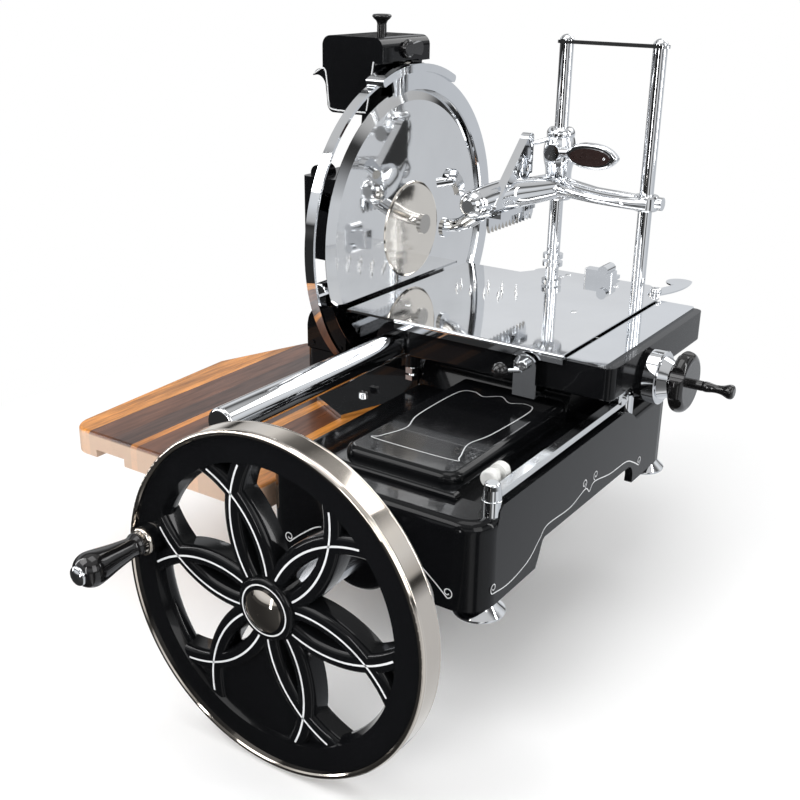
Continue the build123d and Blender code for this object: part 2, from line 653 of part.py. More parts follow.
def grip_centre():
    x, z = wheel_point(GRIP_R, GRIP_ANGLE)
    return x, z


def handle_stud():
    """Stud screwed into the wheel's boss, with a ferrule that the grip runs against."""
    x, z = grip_centre()
    seat = WHEEL_FACE + RIM_RECESS - 4
    return turned("y", (x, seat, z), (22, 0), (22, STUD_R), (0, STUD_R), (0, 11), ((-2, 11.5), (-4, 9.5)),
                  (-6, 9), (-6, STUD_R), (-8 - GRIP_LENGTH, STUD_R), (-8 - GRIP_LENGTH, 0))


def handle_grip():
    """Turned hardwood grip, free to turn on the stud."""
    x, z = grip_centre()
    near = WHEEL_FACE + RIM_RECESS - 4 - 6 - GAP
    length = GRIP_LENGTH - 2
    return turned("y", (x, near, z), (0, STUD_R + RUN), (0, 8.6),
                  ((-2, 9.8), (-5, 8.8), (-12, 8.6), (-26, 10.6), (-42, 13.4), (-50, 13.6),
                   (-length + 2, 10.5), (-length, 8.0)),
                  (-length, STUD_R + RUN))


def handle_end_cap():
    """Domed nut on the end of the stud."""
    x, z = grip_centre()
    start = WHEEL_FACE + RIM_RECESS - 4 - 6 - GAP - GRIP_LENGTH + 2 - GAP
    cap = turned("y", (x, start, z), (0, 0), (0, 7.6), ((-1.5, 7.8), (-3, 6.2)), dome(-3, 6.2, -5))
    return cap - rod("y", (x, z), WHEEL_FACE + RIM_RECESS - 12 - GRIP_LENGTH, start + 1, STUD_R + SEAT)


# ---- layshaft, cross shaft
def bevel_gear(axis, toward):
    """Mitre gear on the layshaft (axis y) or the cross shaft (axis x), teeth towards the apex."""
    pitch = BEVEL_TEETH * BEVEL_MODULE / 2
    apex = Vector(lay_x(), CROSS_Y, LAY_Z)
    out = Vector(*DIRECTION[axis]) * toward
    side = Vector(0, 0, 1)
    back_scale, front_scale = 1.0, 0.62
    phase = 0.0 if axis == "x" else 180 / BEVEL_TEETH
    faces = []
    for scale in (back_scale, front_scale):
        plane = Plane(origin=apex + out * (pitch * scale), x_dir=side, z_dir=out)
        faces.append(plane * gear_face(BEVEL_TEETH, BEVEL_MODULE, scale, phase))
    return loft(faces, ruled=True)


def layshaft():
    """Layshaft with its pinion at the front and its mitre gear at the back."""
    x = lay_x()
    pitch = BEVEL_TEETH * BEVEL_MODULE / 2
    shaft = rod("y", (x, LAY_Z), MAIN_GEAR_Y - 6, CROSS_Y - pitch * 0.7, LAY_R)
    plane = Plane(origin=(x, MAIN_GEAR_Y, LAY_Z), x_dir=(1, 0, 0), z_dir=(0, 1, 0))
    aim = -degrees(atan2(WHEEL_Z - LAY_Z, -x)) + 180 / PINION_TEETH
    pinion = extrude(plane * gear_face(PINION_TEETH, GEAR_MODULE, phase=aim), amount=GEAR_WIDE)
    hub = rod("y", (x, LAY_Z), CROSS_Y - pitch - 6, CROSS_Y - pitch, LAY_R + 5)
    return shaft + pinion + hub + bevel_gear("y", -1)


def sprocket(centre, teeth, bore_r):
    """Chain wheel in the chain's plane."""
    pitch = sprocket_radius(teeth)
    y, z = centre
    wheel = rod("x", centre, CHAIN_X - 1.5, CHAIN_X + 1.5, pitch - 0.2)
    hub = rod("x", centre, CHAIN_X - 1.5, CHAIN_X + 5, bore_r + 4)
    return wheel + hub


def cross_shaft():
    """Cross shaft from the mitre gear to the lower chain wheel."""
    pitch = BEVEL_TEETH * BEVEL_MODULE / 2
    x = lay_x()
    shaft = rod("x", (CROSS_Y, LAY_Z), CHAIN_X - 5, x - pitch * 0.7, CROSS_R)
    hub = rod("x", (CROSS_Y, LAY_Z), x - pitch - 6, x - pitch, CROSS_R + 5)
    return shaft + hub + bevel_gear("x", -1) + sprocket((CROSS_Y, LAY_Z), LOWER_SPROCKET_TEETH, CROSS_R)


def shaft_bushes():
    """Bronze bushes of the flywheel shaft, the layshaft and the cross shaft."""
    def bush(axis, centre, start, end, radius):
        return pipe(axis, centre, start, end, radius + BUSH_WALL, radius + RUN)

    web = (WEB_FRONT_Y, WEB_FRONT_Y + WEB_THICK)
    wheel, lay = (0, WHEEL_Z), (lay_x(), LAY_Z)
    return [bush("y", wheel, FRONT_BOSS_Y + 1, BASE_FRONT + WALL + 1, SHAFT_R),
            bush("y", wheel, *web, SHAFT_R),
            bush("y", lay, *web, LAY_R),
            bush("y", lay, WEB_BACK_Y, WEB_BACK_Y + WEB_THICK, LAY_R),
            bush("x", (CROSS_Y, LAY_Z), -BASE_HALF - 8, -BASE_HALF + 16, CROSS_R),
            bush("x", (CROSS_Y, LAY_Z), CHAIN_X + 10, BLADE_SLOT_LEFT - 2, CROSS_R)]


# ---- blade group
def guard_ring():
    """Ring round the blade: front lip, shroud and three arms to the tower; open at the food side."""
    shroud = pipe("x", (BLADE_Y, BLADE_Z), RING_FACE - RING_DEPTH, RING_FACE, RING_R, RING_R - 3)
    lip = pipe("x", (BLADE_Y, BLADE_Z), RING_FACE - RING_LIP_THICK, RING_FACE, RING_R, RING_R - RING_LIP)
    ring = shroud + lip
    reach = RING_R + 20
    wedge = prism("x", RING_FACE - 8.5, RING_FACE + 5,
                  (BLADE_Y, BLADE_Z), blade_point(reach, GUARD_OPEN_FROM),
                  (blade_point(reach, (GUARD_OPEN_FROM + GUARD_OPEN_TO) / 2),
                   blade_point(reach, GUARD_OPEN_TO)))
    notch = block(RING_FACE - RING_DEPTH - 1, NOTCH_X, SHARP_Y - STONE_R - 2, SHARP_Y + STONE_R + 2,
                  BLADE_Z + RING_R - RING_LIP - 5, BLADE_Z + RING_R + 5)
    below = block(-300, -100, -100, 400, 0, WING_TOP)
    ring = ring - wedge - notch
    back = RING_FACE - RING_DEPTH
    hub = pipe("x", (BLADE_Y, BLADE_Z), back, back + 5, 46, 34)
    arms = []
    for angle in (20, 160, 305):
        arm = block(back, back + 5, BLADE_Y + 40, BLADE_Y + RING_R - 1, BLADE_Z - 9, BLADE_Z + 9)
        arms.append(around("x", (0, BLADE_Y, BLADE_Z), angle) * arm)
    return ring + hub + arms - below


def blade():
    """Slicing disc with a long bevel on the front side."""
    t = BLADE_THICK
    return turned("x", (RING_FACE - RING_LIP_THICK - 0.5, BLADE_Y, BLADE_Z),
                  (0, 0), (0, BLADE_R - 13), (-t + 0.5, BLADE_R), (-t, BLADE_R), (-t, 0))


def blade_cover_plate():
    """Flat round plate over the blade's hub screws."""
    front = RING_FACE - RING_LIP_THICK - 0.5
    return turned("x", (front, BLADE_Y, BLADE_Z), (0, 0), (0, BLADE_PLATE_R), (1.2, BLADE_PLATE_R - 1),
                  (1.8, BLADE_PLATE_R - 3), (1.8, 0))


def blade_shaft():
    """Blade flange, shaft and upper chain wheel."""
    back = RING_FACE - RING_LIP_THICK - 0.5 - BLADE_THICK
    flange = rod("x", (BLADE_Y, BLADE_Z), back - 6, back, 30)
    shaft = rod("x", (BLADE_Y, BLADE_Z), CHAIN_X - 5, back, SHAFT_R)
    wheel = rod("x", (BLADE_Y, BLADE_Z), CHAIN_X - 1.5, CHAIN_X + 1.5,
                sprocket_radius(UPPER_SPROCKET_TEETH) - 0.2)
    return flange + shaft + wheel


def guard_lower_mount():
    """Fluted clamp screw and bracket that hold the ring's free lower end to the tower."""
    y, z = blade_point(RING_R - 12, 201)
    x1 = RING_FACE - RING_DEPTH
    arm = block(x1 - 6, x1, y - 2, TOWER_FRONT + 20, z - 6, z + 8)
    foot = block(x1 - 18, x1, TOWER_FRONT + 6, TOWER_FRONT + 36, TOWER_SHOULDER, z + 8)
    screw = turned("y", (x1 - 28, TOWER_FRONT - 4, z), (0, 0), (0, 7), ((1, 9.5), (3, 10)), (18, 10),
                   (18, 6), (26, 6), (26, 0))
    grooves = [around("y", (x1 - 28, 0, z), 30 * k) * rod("y", (x1 - 28 + 10.6, z), TOWER_FRONT - 6,
                                                           TOWER_FRONT + 12, 1.6) for k in range(12)]
    lug = block(x1 - 36, x1 - 6, TOWER_FRONT + 14, TOWER_FRONT + 30, TOWER_SHOULDER, z + 2)
    return arm + foot + lug + (screw - grooves)


# ---- sharpener
def sharpener_saddle():
    """Polished shoe that hugs the top of the guard ring, with the plinth under the side knob."""
    x0, x1 = RING_FACE - RING_DEPTH + 1, RING_FACE + 3
    inner, outer = RING_R + SEAT, RING_R + SADDLE_ARM
    start, end, middle = 64, 112, 88
    shoe = prism("x", x0, x1, blade_point(inner, start), (blade_point(inner, middle), blade_point(inner, end)),
                 blade_point(outer, end), (blade_point(outer, middle), blade_point(outer, start)))
    shoe = fillet(shoe.edges().filter_by(Axis.X), 3)
    plinth = block(SHARP_RIGHT + 0.5, RING_FACE + 1, SHARP_Y - 14, SHARP_Y + 14,
                   BLADE_Z + RING_R + SADDLE_ARM - 3, KNOB_Z - 14)
    notch = block(x0 - 1, NOTCH_X, SHARP_Y - STONE_R - 2, SHARP_Y + STONE_R + 2, BLADE_Z + RING_R - 20,
                  STONE_Z + STONE_R + 1)
    return shoe + plinth - notch


def sharpener_outline(axis_start, axis_end, inset):
    """Housing profile seen from the front: rounded top, lip at the left, step down at the left."""
    left, right, top = SHARP_LEFT + inset, SHARP_RIGHT - inset, SHARP_TOP - inset
    low = SHARP_BOTTOM
    return prism("y", axis_start, axis_end,
                 (left + 10, top), (right - 10, top), ((right - 3, top - 3), (right, top - 10)),
                 (right, 394), (-203, 394), (-212, low), (-256 + inset, low),
                 ((-261 + inset, low + 2), (-264 + inset, low + 9)), (-266 + inset, 368),
                 ((-270 + inset, 376), (-283 + inset, 378)), ((-279 + inset, 383), (left, 386)),
                 (left, top - 10), ((left + 3, top - 3), (left + 10, top)))


def sharpener_housing():
    """Black housing over the stones, open below, seated on the saddle arm and the tower's arm."""
    shell = sharpener_outline(SHARP_FRONT, SHARP_BACK, 0)
    room = block(-236, SHARP_RIGHT - 4, SHARP_Y - 24, SHARP_Y + 24, 372, SHARP_TOP - WALL)
    hug = rod("x", (BLADE_Y, BLADE_Z), RING_FACE - RING_DEPTH - 1, SHARP_RIGHT + 10, RING_R + SADDLE_ARM + 0.1)
    shell = shell - room - hug - block(-240, SHARP_RIGHT + 1, SHARP_Y - 24, SHARP_Y + 24, 360, 395.5)
    shell = shell - rod("z", (-225, SHARP_Y), 400, SHARP_TOP + 1, 5 + RUN)
    shell = shell - rod("x", (SHARP_Y, KNOB_Z), -210, SHARP_RIGHT + 1, 4 + RUN)
    return shell


def sharpener_plunger():
    """Push rod with its mushroom knob, and the yoke that holds both stones."""
    x = -225
    knob = turned("z", (x, SHARP_Y, SHARP_TOP), (9, 0), (9, 5), ((12, 5.2), (16, 8.5)), (18, 10),
                  ((20, 9.5), (20.5, 7)), (20.5, 0))
    push_rod = rod("z", (x, SHARP_Y), 392, SHARP_TOP + 10, 5)
    yoke = block(x - 6, -199, SHARP_Y - 6, SHARP_Y + 6, 390, 397)
    back_leg = block(-204, -199, SHARP_Y - 6, SHARP_Y + 6, STONE_Z - 7, 396)
    pin = rod("x", (SHARP_Y, STONE_Z), -200, -192, 3)
    return knob + push_rod + yoke + back_leg + pin


def grinding_stone():
    """Grinding stone beside the blade's edge, on the yoke's pin."""
    return turned("x", (-194, SHARP_Y, STONE_Z), (-4, 3 + SEAT), (-4, STONE_R - 3), (1, STONE_R),
                  (2.5, STONE_R), (2.5, 3 + SEAT))


def stone_knob():
    """Side knob with a pointer, which turns the honing spindle."""
    spindle = rod("x", (SHARP_Y, KNOB_Z), -208, SHARP_RIGHT + 1, 4)
    body = turned("x", (SHARP_RIGHT + GAP, SHARP_Y, KNOB_Z), (0, 0), (0, 8.5), ((0.8, 9.5), (2, 9.5)),
                  ((4, 8.6), (5, 7)), (5, 0))
    pointer = prism("x", SHARP_RIGHT + GAP, SHARP_RIGHT + 7,
                    (SHARP_Y - 10, KNOB_Z - 3), ((SHARP_Y - 12, KNOB_Z), (SHARP_Y - 10, KNOB_Z + 3)),
                    (SHARP_Y + 18, KNOB_Z + 7), ((SHARP_Y + 22, KNOB_Z), (SHARP_Y + 18, KNOB_Z - 7)))
    return spindle + body + pointer


# ---- carriage
def carriage_casting():
    """Carriage: frame under the table, C sleeve round the tube, slot for the feed nut."""
    frame = block(CAR_LEFT, CAR_RIGHT, CAR_FRONT, CAR_BACK, CAR_BOTTOM, CAR_TOP)
    frame = fillet(frame.edges().filter_by(Axis.Z), 9)
    frame = fillet(frame.edges().group_by(Axis.Z)[0], 3)
    outer = TUBE_R + SLIDE_GAP + SLEEVE_WALL
    sleeve = rod("y", (TUBE_X, TUBE_Z), CAR_FRONT + 4, CAR_BACK - 4, outer)
    neck = block(TUBE_X, CAR_LEFT + 8, CAR_FRONT + 4, CAR_BACK - 4, CAR_BOTTOM, CAR_TOP - 2)
    boss = rod("z", (-106, 30), 112, CAR_BOTTOM + 4, 8)
    barrel = rod("x", (DIAL_Y, DIAL_Z), CAR_RIGHT - 5, CAR_RIGHT + 3, DIAL_R - 1)
    shape = frame + sleeve + neck + boss + barrel
    room = block(-94, CAR_RIGHT - 13, CAR_FRONT + 10, CAR_BACK - 10, CAR_BOTTOM - 1, CAR_TOP - 6)
    left_web = block(-94, -88, CAR_FRONT + 10, CAR_BACK - 10, CAR_BOTTOM, CAR_TOP - 2)
    shape = shape - room + left_web
    slot = block(-88, 66, DIAL_Y - 9, DIAL_Y + 9, CAR_BOTTOM, CAR_TOP + 1)
    open_side = block(TUBE_X - SADDLE_WEB / 2 - 3, TUBE_X + SADDLE_WEB / 2 + 3, CAR_FRONT, CAR_BACK,
                      80, TUBE_Z)
    bore = rod("y", (TUBE_X, TUBE_Z), CAR_FRONT - 1, CAR_BACK + 1, TUBE_R + SLIDE_GAP)
    foot_room = block(TUBE_X - 14, TUBE_X + 14, CAR_FRONT, CAR_BACK, 80, WING_TOP + 7)
    screw_bore = rod("x", (DIAL_Y, DIAL_Z), -95, CAR_RIGHT + 4, SCREW_R + RUN)
    return shape - slot - open_side - bore - foot_room - screw_bore


def carriage_end_plate():
    """Polished plate on the right end of the carriage, below the table's path."""
    plate = block(66, CAR_RIGHT - 9.5, CAR_FRONT + 1, CAR_BACK, CAR_TOP, CAR_TOP + 1.8)
    return fillet(plate.edges().filter_by(Axis.Z).group_by(Axis.X)[-1], 4)


def carriage_bolt():
    """Adjusting bolt with its lock nut under the carriage's front left corner."""
    shank = rod("z", (-106, 30), 99, 112, 4)
    nut = hex_head((-106, 30), 105, 111, 13)
    head = hex_head((-106, 30), 98, 103, 13)
    washer = rod("z", (-106, 30), 111, 112, 6.4)
    return [shank + nut + head + washer, lever_pin()]


def thickness_dial():
    """Chrome dial ring with a black flange in front."""
    start = CAR_RIGHT + 3 + GAP
    ring = turned("x", (start, DIAL_Y, DIAL_Z), (0, SCREW_R + RUN), (0, DIAL_R - 0.6), (0.6, DIAL_R),
                  (12, DIAL_R), (13, DIAL_R - 1), (13, DIAL_R - 5), (22, DIAL_R - 9), (22, SCREW_R + RUN))
    return ring


def feed_screw():
    """Lead screw through the carriage, under the table."""
    return rod("x", (DIAL_Y, DIAL_Z), -92, CAR_RIGHT + 27, SCREW_R)


def feed_knob():
    """Lobed knob on the end of the lead screw, with a stub for the spinner handle."""
    start = CAR_RIGHT + 26
    body = turned("x", (start, DIAL_Y, DIAL_Z), (0, 0), (0, 14), (3, KNOB_R - 5), ((7, KNOB_R), (11, KNOB_R)),
                  ((15, KNOB_R - 2), (17, KNOB_R - 8)), (17, 0))
    dents = [around("x", (0, DIAL_Y, DIAL_Z), 30 + 60 * k)
             * rod("x", (DIAL_Y + KNOB_R + 5, DIAL_Z), start - 1, start + 18, 9) for k in range(6)]
    body = body - dents - rod("x", (DIAL_Y, DIAL_Z), start - 1, start + 1, SCREW_R + SEAT)
    stub = rod("x", (DIAL_Y, DIAL_Z), start + 17, start + 28, 4.8)
    pin = rod("x", (DIAL_Y, DIAL_Z), start + 28, start + 52, 2)
    return body + stub + pin


def feed_handle():
    """Small turned handle that spins on the knob's pin."""
    start = CAR_RIGHT + 26 + 28 + GAP
    return turned("x", (start, DIAL_Y, DIAL_Z), (0, 2 + RUN), (0, 4.4),
                  ((4, 5.0), (9, 4.2), (14, 3.9), (20, 5.0), (25, 6.8), (28, 6.4), (29.5, 4.0)),
                  (29.5, 0), (25, 0), (25, 2 + RUN))


def roller_bracket():
    """Angle bracket and axle under the carriage's right side, outside the rail."""
    z = RAIL_TOP + GAP + ROLLER_R
    leg = block(RAIL_X + 6, RAIL_X + 9, ROLLER_Y - 8, ROLLER_Y + 8, z - 6, CAR_BOTTOM)
    top = block(RAIL_X - 5, RAIL_X + 9, ROLLER_Y - 8, ROLLER_Y + 8, CAR_BOTTOM - 2, CAR_BOTTOM)
    axle = rod("x", (ROLLER_Y, z), RAIL_X - 4.6, RAIL_X + 11, 2.5)
    return leg + top + axle


def rail_roller():
    """Roller that carries the carriage's right side on the rail."""
    z = RAIL_TOP + GAP + ROLLER_R
    return turned("x", (RAIL_X, ROLLER_Y, z), (-4.2, 2.5 + RUN), (-4.2, ROLLER_R - 0.6), (-3.6, ROLLER_R),
                  (4.6, ROLLER_R), (5.2, ROLLER_R - 0.6), (5.2, 2.5 + RUN))


def release_lever():
    """Bent steel lever on the carriage's front, hooked back under the carriage."""
    x, y, z = 31.0, 8.0, 148.0
    half, t, low, back = 11.5, 2.5, 116.2, 34.0
    plate = prism("y", y, y + t, (x - half, low), (x + half, low), (x + half, z - 2),
                  ((x, z + half - 2), (x - half, z - 2)))
    arm = block(x - half, x + half, y, back, low, low + t)
    lip = block(x - half, x + half, back - t, back, low, low + t + 0.6)
    pivot = rod("y", (x, z), y - 2, y + t, 5)
    stem = bar_between((x - 4, y + 1, 141), (13, 1, 140), 2.2)
    bored = rod("y", (x, z), y - 3, CAR_FRONT - 1, 3 + RUN)
    return plate + arm + lip + pivot + stem - bored


def lever_pin():
    """Shoulder screw that the release lever swings on."""
    x, z = 31.0, 148.0
    return rod("y", (x, z), 4.5, CAR_FRONT, 3) + rod("y", (x, z), 3.5, 6 - GAP, 5)


def release_ball():
    """Ball knob of the release lever."""
    return Pos(10, 0, 140) * Sphere(8) - bar_between((31 - 4, 9, 141), (13, 1, 140), 2.2 + SEAT)


# ---- table
def table_plate():
    """Polished food table with bored corners for the rods."""
    y_rear = 290
    plate = prism("z", TABLE_TOP - TABLE_THICK, TABLE_TOP,
                  (TABLE_LEFT, TABLE_FRONT), (TABLE_RIGHT, TABLE_FRONT), (TABLE_RIGHT, 250), (57, 264),
                  (46, 268), ((43, 284), (36, y_rear)), (-84, y_rear - 2), ((-93, 284), (-96, 270)),
                  (-106, TABLE_BACK), (TABLE_LEFT, TABLE_BACK))
    holes = [rod("z", (x, ROD_Y), 150, 170, 5 + SEAT) for x in (ROD_LEFT, ROD_RIGHT)]
    return plate - holes


def table_guide_strips():
    """Front strip with a rolled edge and hidden rear strip; they guide the table on the carriage."""
    y0 = CAR_FRONT - GAP - 6
    front = prism("x", -118, TABLE_RIGHT + 2.4,
                  (y0, 153), (y0 + 6, 153), (y0 + 6, TABLE_TOP - TABLE_THICK),
                  (TABLE_FRONT, TABLE_TOP - TABLE_THICK), (TABLE_FRONT, TABLE_TOP + 0.6),
                  ((y0 + 1.5, TABLE_TOP + 1), (y0, TABLE_TOP - 2)))
    back = block(-100, 60, CAR_BACK + GAP, CAR_BACK + GAP + 5, 150, TABLE_TOP - TABLE_THICK)
    return [front, back]


def table_spikes():
    """Rows of small spikes that hold the food, and the table's screws."""
    spikes = [tab_screw()]
    for row, (y, count, x0) in enumerate(((150, 4, -128), (166, 5, -132), (182, 4, -124))):
        for k in range(count):
            spikes.append(Pos(x0 + 17 * k, y, TABLE_TOP + 3.5) * Cone(1.8, 0.3, 7))
    return spikes


def feed_nut():
    """Nut on the lead screw, with the post that carries the table."""
    body = block(-86, -72, DIAL_Y - 8, DIAL_Y + 8, DIAL_Z - 2.5 - SCREW_R, CAR_TOP - 10)
    post = block(-86, -78, DIAL_Y - 8, DIAL_Y + 8, CAR_TOP - 12, TABLE_TOP - TABLE_THICK)
    return body + post - rod("x", (DIAL_Y, DIAL_Z), -90, -60, SCREW_R + RUN)


def clamp_rods():
    """Two upright rods with their nuts under the table, and two stop collars on the left one."""
    solids = []
    for x in (ROD_LEFT, ROD_RIGHT):
        rod_body = rod("z", (x, ROD_Y), TABLE_TOP, ROD_TOP, ROD_R) + rod("z", (x, ROD_Y), 149, 161, 5)
        rod_body = rod_body + rod("z", (x, ROD_Y), ROD_TOP, ROD_TOP + 5, 4)
        nut = hex_head((x, ROD_Y), 151, TABLE_TOP - TABLE_THICK, 16)
        solids.append(rod_body)
        solids.append(nut - rod("z", (x, ROD_Y), 150, 160, 5 + SEAT))
    for z in (169, 178):
        solids.append(pipe("z", (ROD_LEFT, ROD_Y), z, z + 5, 11.5, ROD_R + SEAT))
    return solids


def rod_strap():
    """Flat strap across the tops of the rods, and its two domed nuts."""
    strap = block(ROD_LEFT - 10, ROD_RIGHT + 10, ROD_Y - 7, ROD_Y + 7, ROD_TOP, ROD_TOP + 3)
    strap = fillet(strap.edges().filter_by(Axis.Z), 6.5)
    solids = [strap - [rod("z", (x, ROD_Y), ROD_TOP - 1, ROD_TOP + 4, 4 + SEAT)
                       for x in (ROD_LEFT, ROD_RIGHT)]]
    for x in (ROD_LEFT, ROD_RIGHT):
        nut = turned("z", (x, ROD_Y, ROD_TOP + 3), (0, 0), (0, 7.5), (1.5, 7.5), dome(1.5, 7.5, 6.5))
        solids.append(nut - rod("z", (x, ROD_Y), ROD_TOP, ROD_TOP + 5.2, 4 + SEAT))
    return solids


def end_stop():
    """Stop block on the table with its clamping screw."""
    body = block(-34, 0, 270, 284, TABLE_TOP, 173)
    body = fillet(body.edges().filter_by(Axis.Z), 2)
    screw = rod("y", (-10, 174), 266, 288, 6)
    tail = block(-22, -2, 284, 297, TABLE_TOP, TABLE_TOP + 4)
    return body + screw + tail


# ---- clamp arm
def clamp_arm():
    """Polished casting: two rod eyes, bridge, barrel, upright paddle and front cross bar."""
    x1, x2, y = ROD_LEFT, ROD_RIGHT, ROD_Y
    eye_low = turned("z", (x1, y, 0), (246, 0), (246, 15), ((250, 17), (258, 17)),
                     ((270, 14.5), (282, 15.5)), ((300, 18), (314, 15)), ((322, 14), (324, 12)), (324, 0))
    eye_far = turned("z", (x2, y, 0), (246, 0), (246, EYE_R - 1.5), (248, EYE_R), (260, EYE_R),
                     (262, EYE_R - 1.5), (262, 0))
    bridge = bar_between((x1, y - 4, 262), (x1 + 52, y - 10, 258), 11, 8)
    bridge = bridge + Pos(x1 + 52, y - 10, 258) * Sphere(8)
    bridge = bridge + bar_between((x1 + 52, y - 10, 258), (x2, y, 254.5), 8, 7)
    lock = rod("x", (y, 254.5), x2 + EYE_R - 3, x2 + EYE_R + 5, 7)
    barrel = bar_between((x1, y, 262), (-104, 215, 256), 13, 14.5)
    barrel = barrel + bar_between((-104, 215, 256), (-120, 166, 251), 14.5, 15.5)
    nose = Pos(-120, 166, 251) * Sphere(15.5)
    nose = nose - Pos(-126, 146, 249) * Box(60, 12, 60)
    paddle = prism("x", -107, -97, (168, 246), (185, 262), (238, 314), ((244, 319), (252, 316)), (252, 276),
                   (226, 262), (200, 246))
    paddle = fillet(paddle.edges().filter_by(Axis.X), 3)
    cross = bar_between((-122, 172, 238), (-150, 186, 221), 8, 7)
    cross = cross + bar_between((-150, 186, 221), (-168, 188, 220), 7, 5.5)
    pad = Pos(-168, 188, 216) * Rot(0, 90, 0) * Cylinder(11, 5)
    shape = eye_low + eye_far + bridge + lock + barrel + nose + paddle + cross + pad
    shape = shape - link_bar(SEAT) - press_flange(SEAT)
    shape = shape - rod("z", (x1, y), 240, 330, ROD_R + SLIDE_GAP)
    shape = shape - rod("z", (x2, y), 240, 270, ROD_R + SLIDE_GAP)
    return shape - rod("y", (x1 + 4, 300), 240, 262, 3 + RUN)


def press_flange(extra):
    """Top flange of the press plate, bedded in the arm's barrel."""
    return block(PRESS_X - 8 - extra, PRESS_X + 8 + extra, PRESS_FRONT + 14 - extra,
                 PRESS_BACK - 34 + extra, PRESS_TOP, PRESS_TOP + 7 + extra)


def press_plate():
    """Plate under the barrel with a row of pointed teeth."""
    teeth = 13
    step = (PRESS_BACK - 26 - PRESS_FRONT) / teeth
    moves = [(PRESS_BACK - 26, PRESS_LOW + 8)]
    for k in range(teeth):
        y = PRESS_BACK - 26 - step * k
        moves += [(y - step / 2, PRESS_LOW), (y - step, PRESS_LOW + 8)]
    plate = prism("x", PRESS_X - 1.5, PRESS_X + 1.5, (PRESS_BACK - 26, PRESS_TOP + 3), *moves,
                  (PRESS_FRONT, PRESS_TOP + 3))
    return plate + press_flange(0)


def link_bar(extra):
    return bar_between((-102, 250, 306), (-84, 266, 312), 2.5 + extra)


def link_rod():
    """Thin rod from the paddle's head to the boss on the left rod."""
    return link_bar(0) - rod("z", (ROD_LEFT, ROD_Y), 290, 330, ROD_R + 1)


def clamp_lever():
    """Lever with an oval grip that locks the arm on its rod."""
    x, z = ROD_LEFT + 4, 300.0
    hub = rod("y", (x, z), 246, 256, 9)
    grip_x = -27.0
    oval = outline(lambda a, b: (a, 246, b), (grip_x - 31, z + 2),
                   ((grip_x - 20, z + 11), (grip_x, z + 14), (grip_x + 20, z + 10), (grip_x + 31, z)),
                   ((grip_x + 20, z - 10), (grip_x, z - 13), (grip_x - 20, z - 9), (grip_x - 31, z + 2)))
    grip = extrude(oval, amount=11, dir=(0, 1, 0))
    grip = fillet(grip.edges(), 3)
    neck = bar_between((x, 251, z), (grip_x - 22, 251, z + 2), 5)
    pin = rod("y", (x, z), 256, 261.5, 3)
    return hub + neck + grip + pin


def lever_inlay():
    """Dark oval scale on the grip, with two rivets."""
    grip_x, z = -27.0, 300.0
    scale = Pos(grip_x, 245, z) * Rot(90, 0, 0) * extrude(Ellipse(23, 9), amount=1, both=True)
    return scale & block(-100, 100, 244.2, 246, 200, 400)


def thumb_hook():
    """Curved thumb piece that swings on the arm's nose, with a short knurled stop."""
    hook = prism("x", -135, -128, (150, 262), (158, 262), ((156, 276), (146, 286)),
                 ((136, 292), (124, 284)), ((134, 282), (142, 274)), ((147, 268), (150, 262)))
    stop = bar_between((-131.5, 140, 279), (-146, 132, 276), 5)
    return hook + stop


def tab_lever():
    """Flat tab at the table's rear right corner, free to swing on its screw."""
    pivot = (55, 262)
    tab = prism("z", TABLE_TOP + GAP, TABLE_TOP + GAP + 1.6, (48, 256), ((46, 263), (50, 270)), (60, 300),
                ((62, 330), (72, 326)), ((74, 312), (64, 258)), ((57, 252), (48, 256)))
    return tab - rod("z", pivot, 160, 170, 3 + RUN)


def tab_screw():
    """Screw that holds the tab."""
    return rod("z", (55, 262), TABLE_TOP, TABLE_TOP + 2.4, 3) + rod("z", (55, 262), TABLE_TOP + 2.4, 166, 6)


# ---- slice board
def slice_board():
    """Wooden board with rounded corners, slid under the wing; a finger slot under its front edge."""
    z0, z1 = BOARD_TOP - BOARD_THICK, BOARD_TOP
    body = prism("z", z0, z1, (-359, -198), (-116, -198), (-114, 132), (-328, 146), (-369, 31))
    upright = body.edges().filter_by(Axis.Z)
    body = fillet(upright.filter_by_position(Axis.X, -360, -358), 24)
    body = fillet(body.edges().filter_by(Axis.Z).filter_by_position(Axis.X, -370, -320), 14)
    body = fillet(body.edges().filter_by(Axis.Z).filter_by_position(Axis.X, -117, -113), 8)
    body = fillet(body.edges().group_by(Axis.Z)[-1], 4)
    return body - block(-322, -284, -199, -186, z0 - 1, z0 + 8)


def write(name, shape):
    solids = []
    for item in (shape if isinstance(shape, list) else [shape]):
        solids += item.solids()
    whole = solids[0] if len(solids) == 1 else Compound(children=solids)
    export_step(whole, os.path.join("parts", name + ".step"))


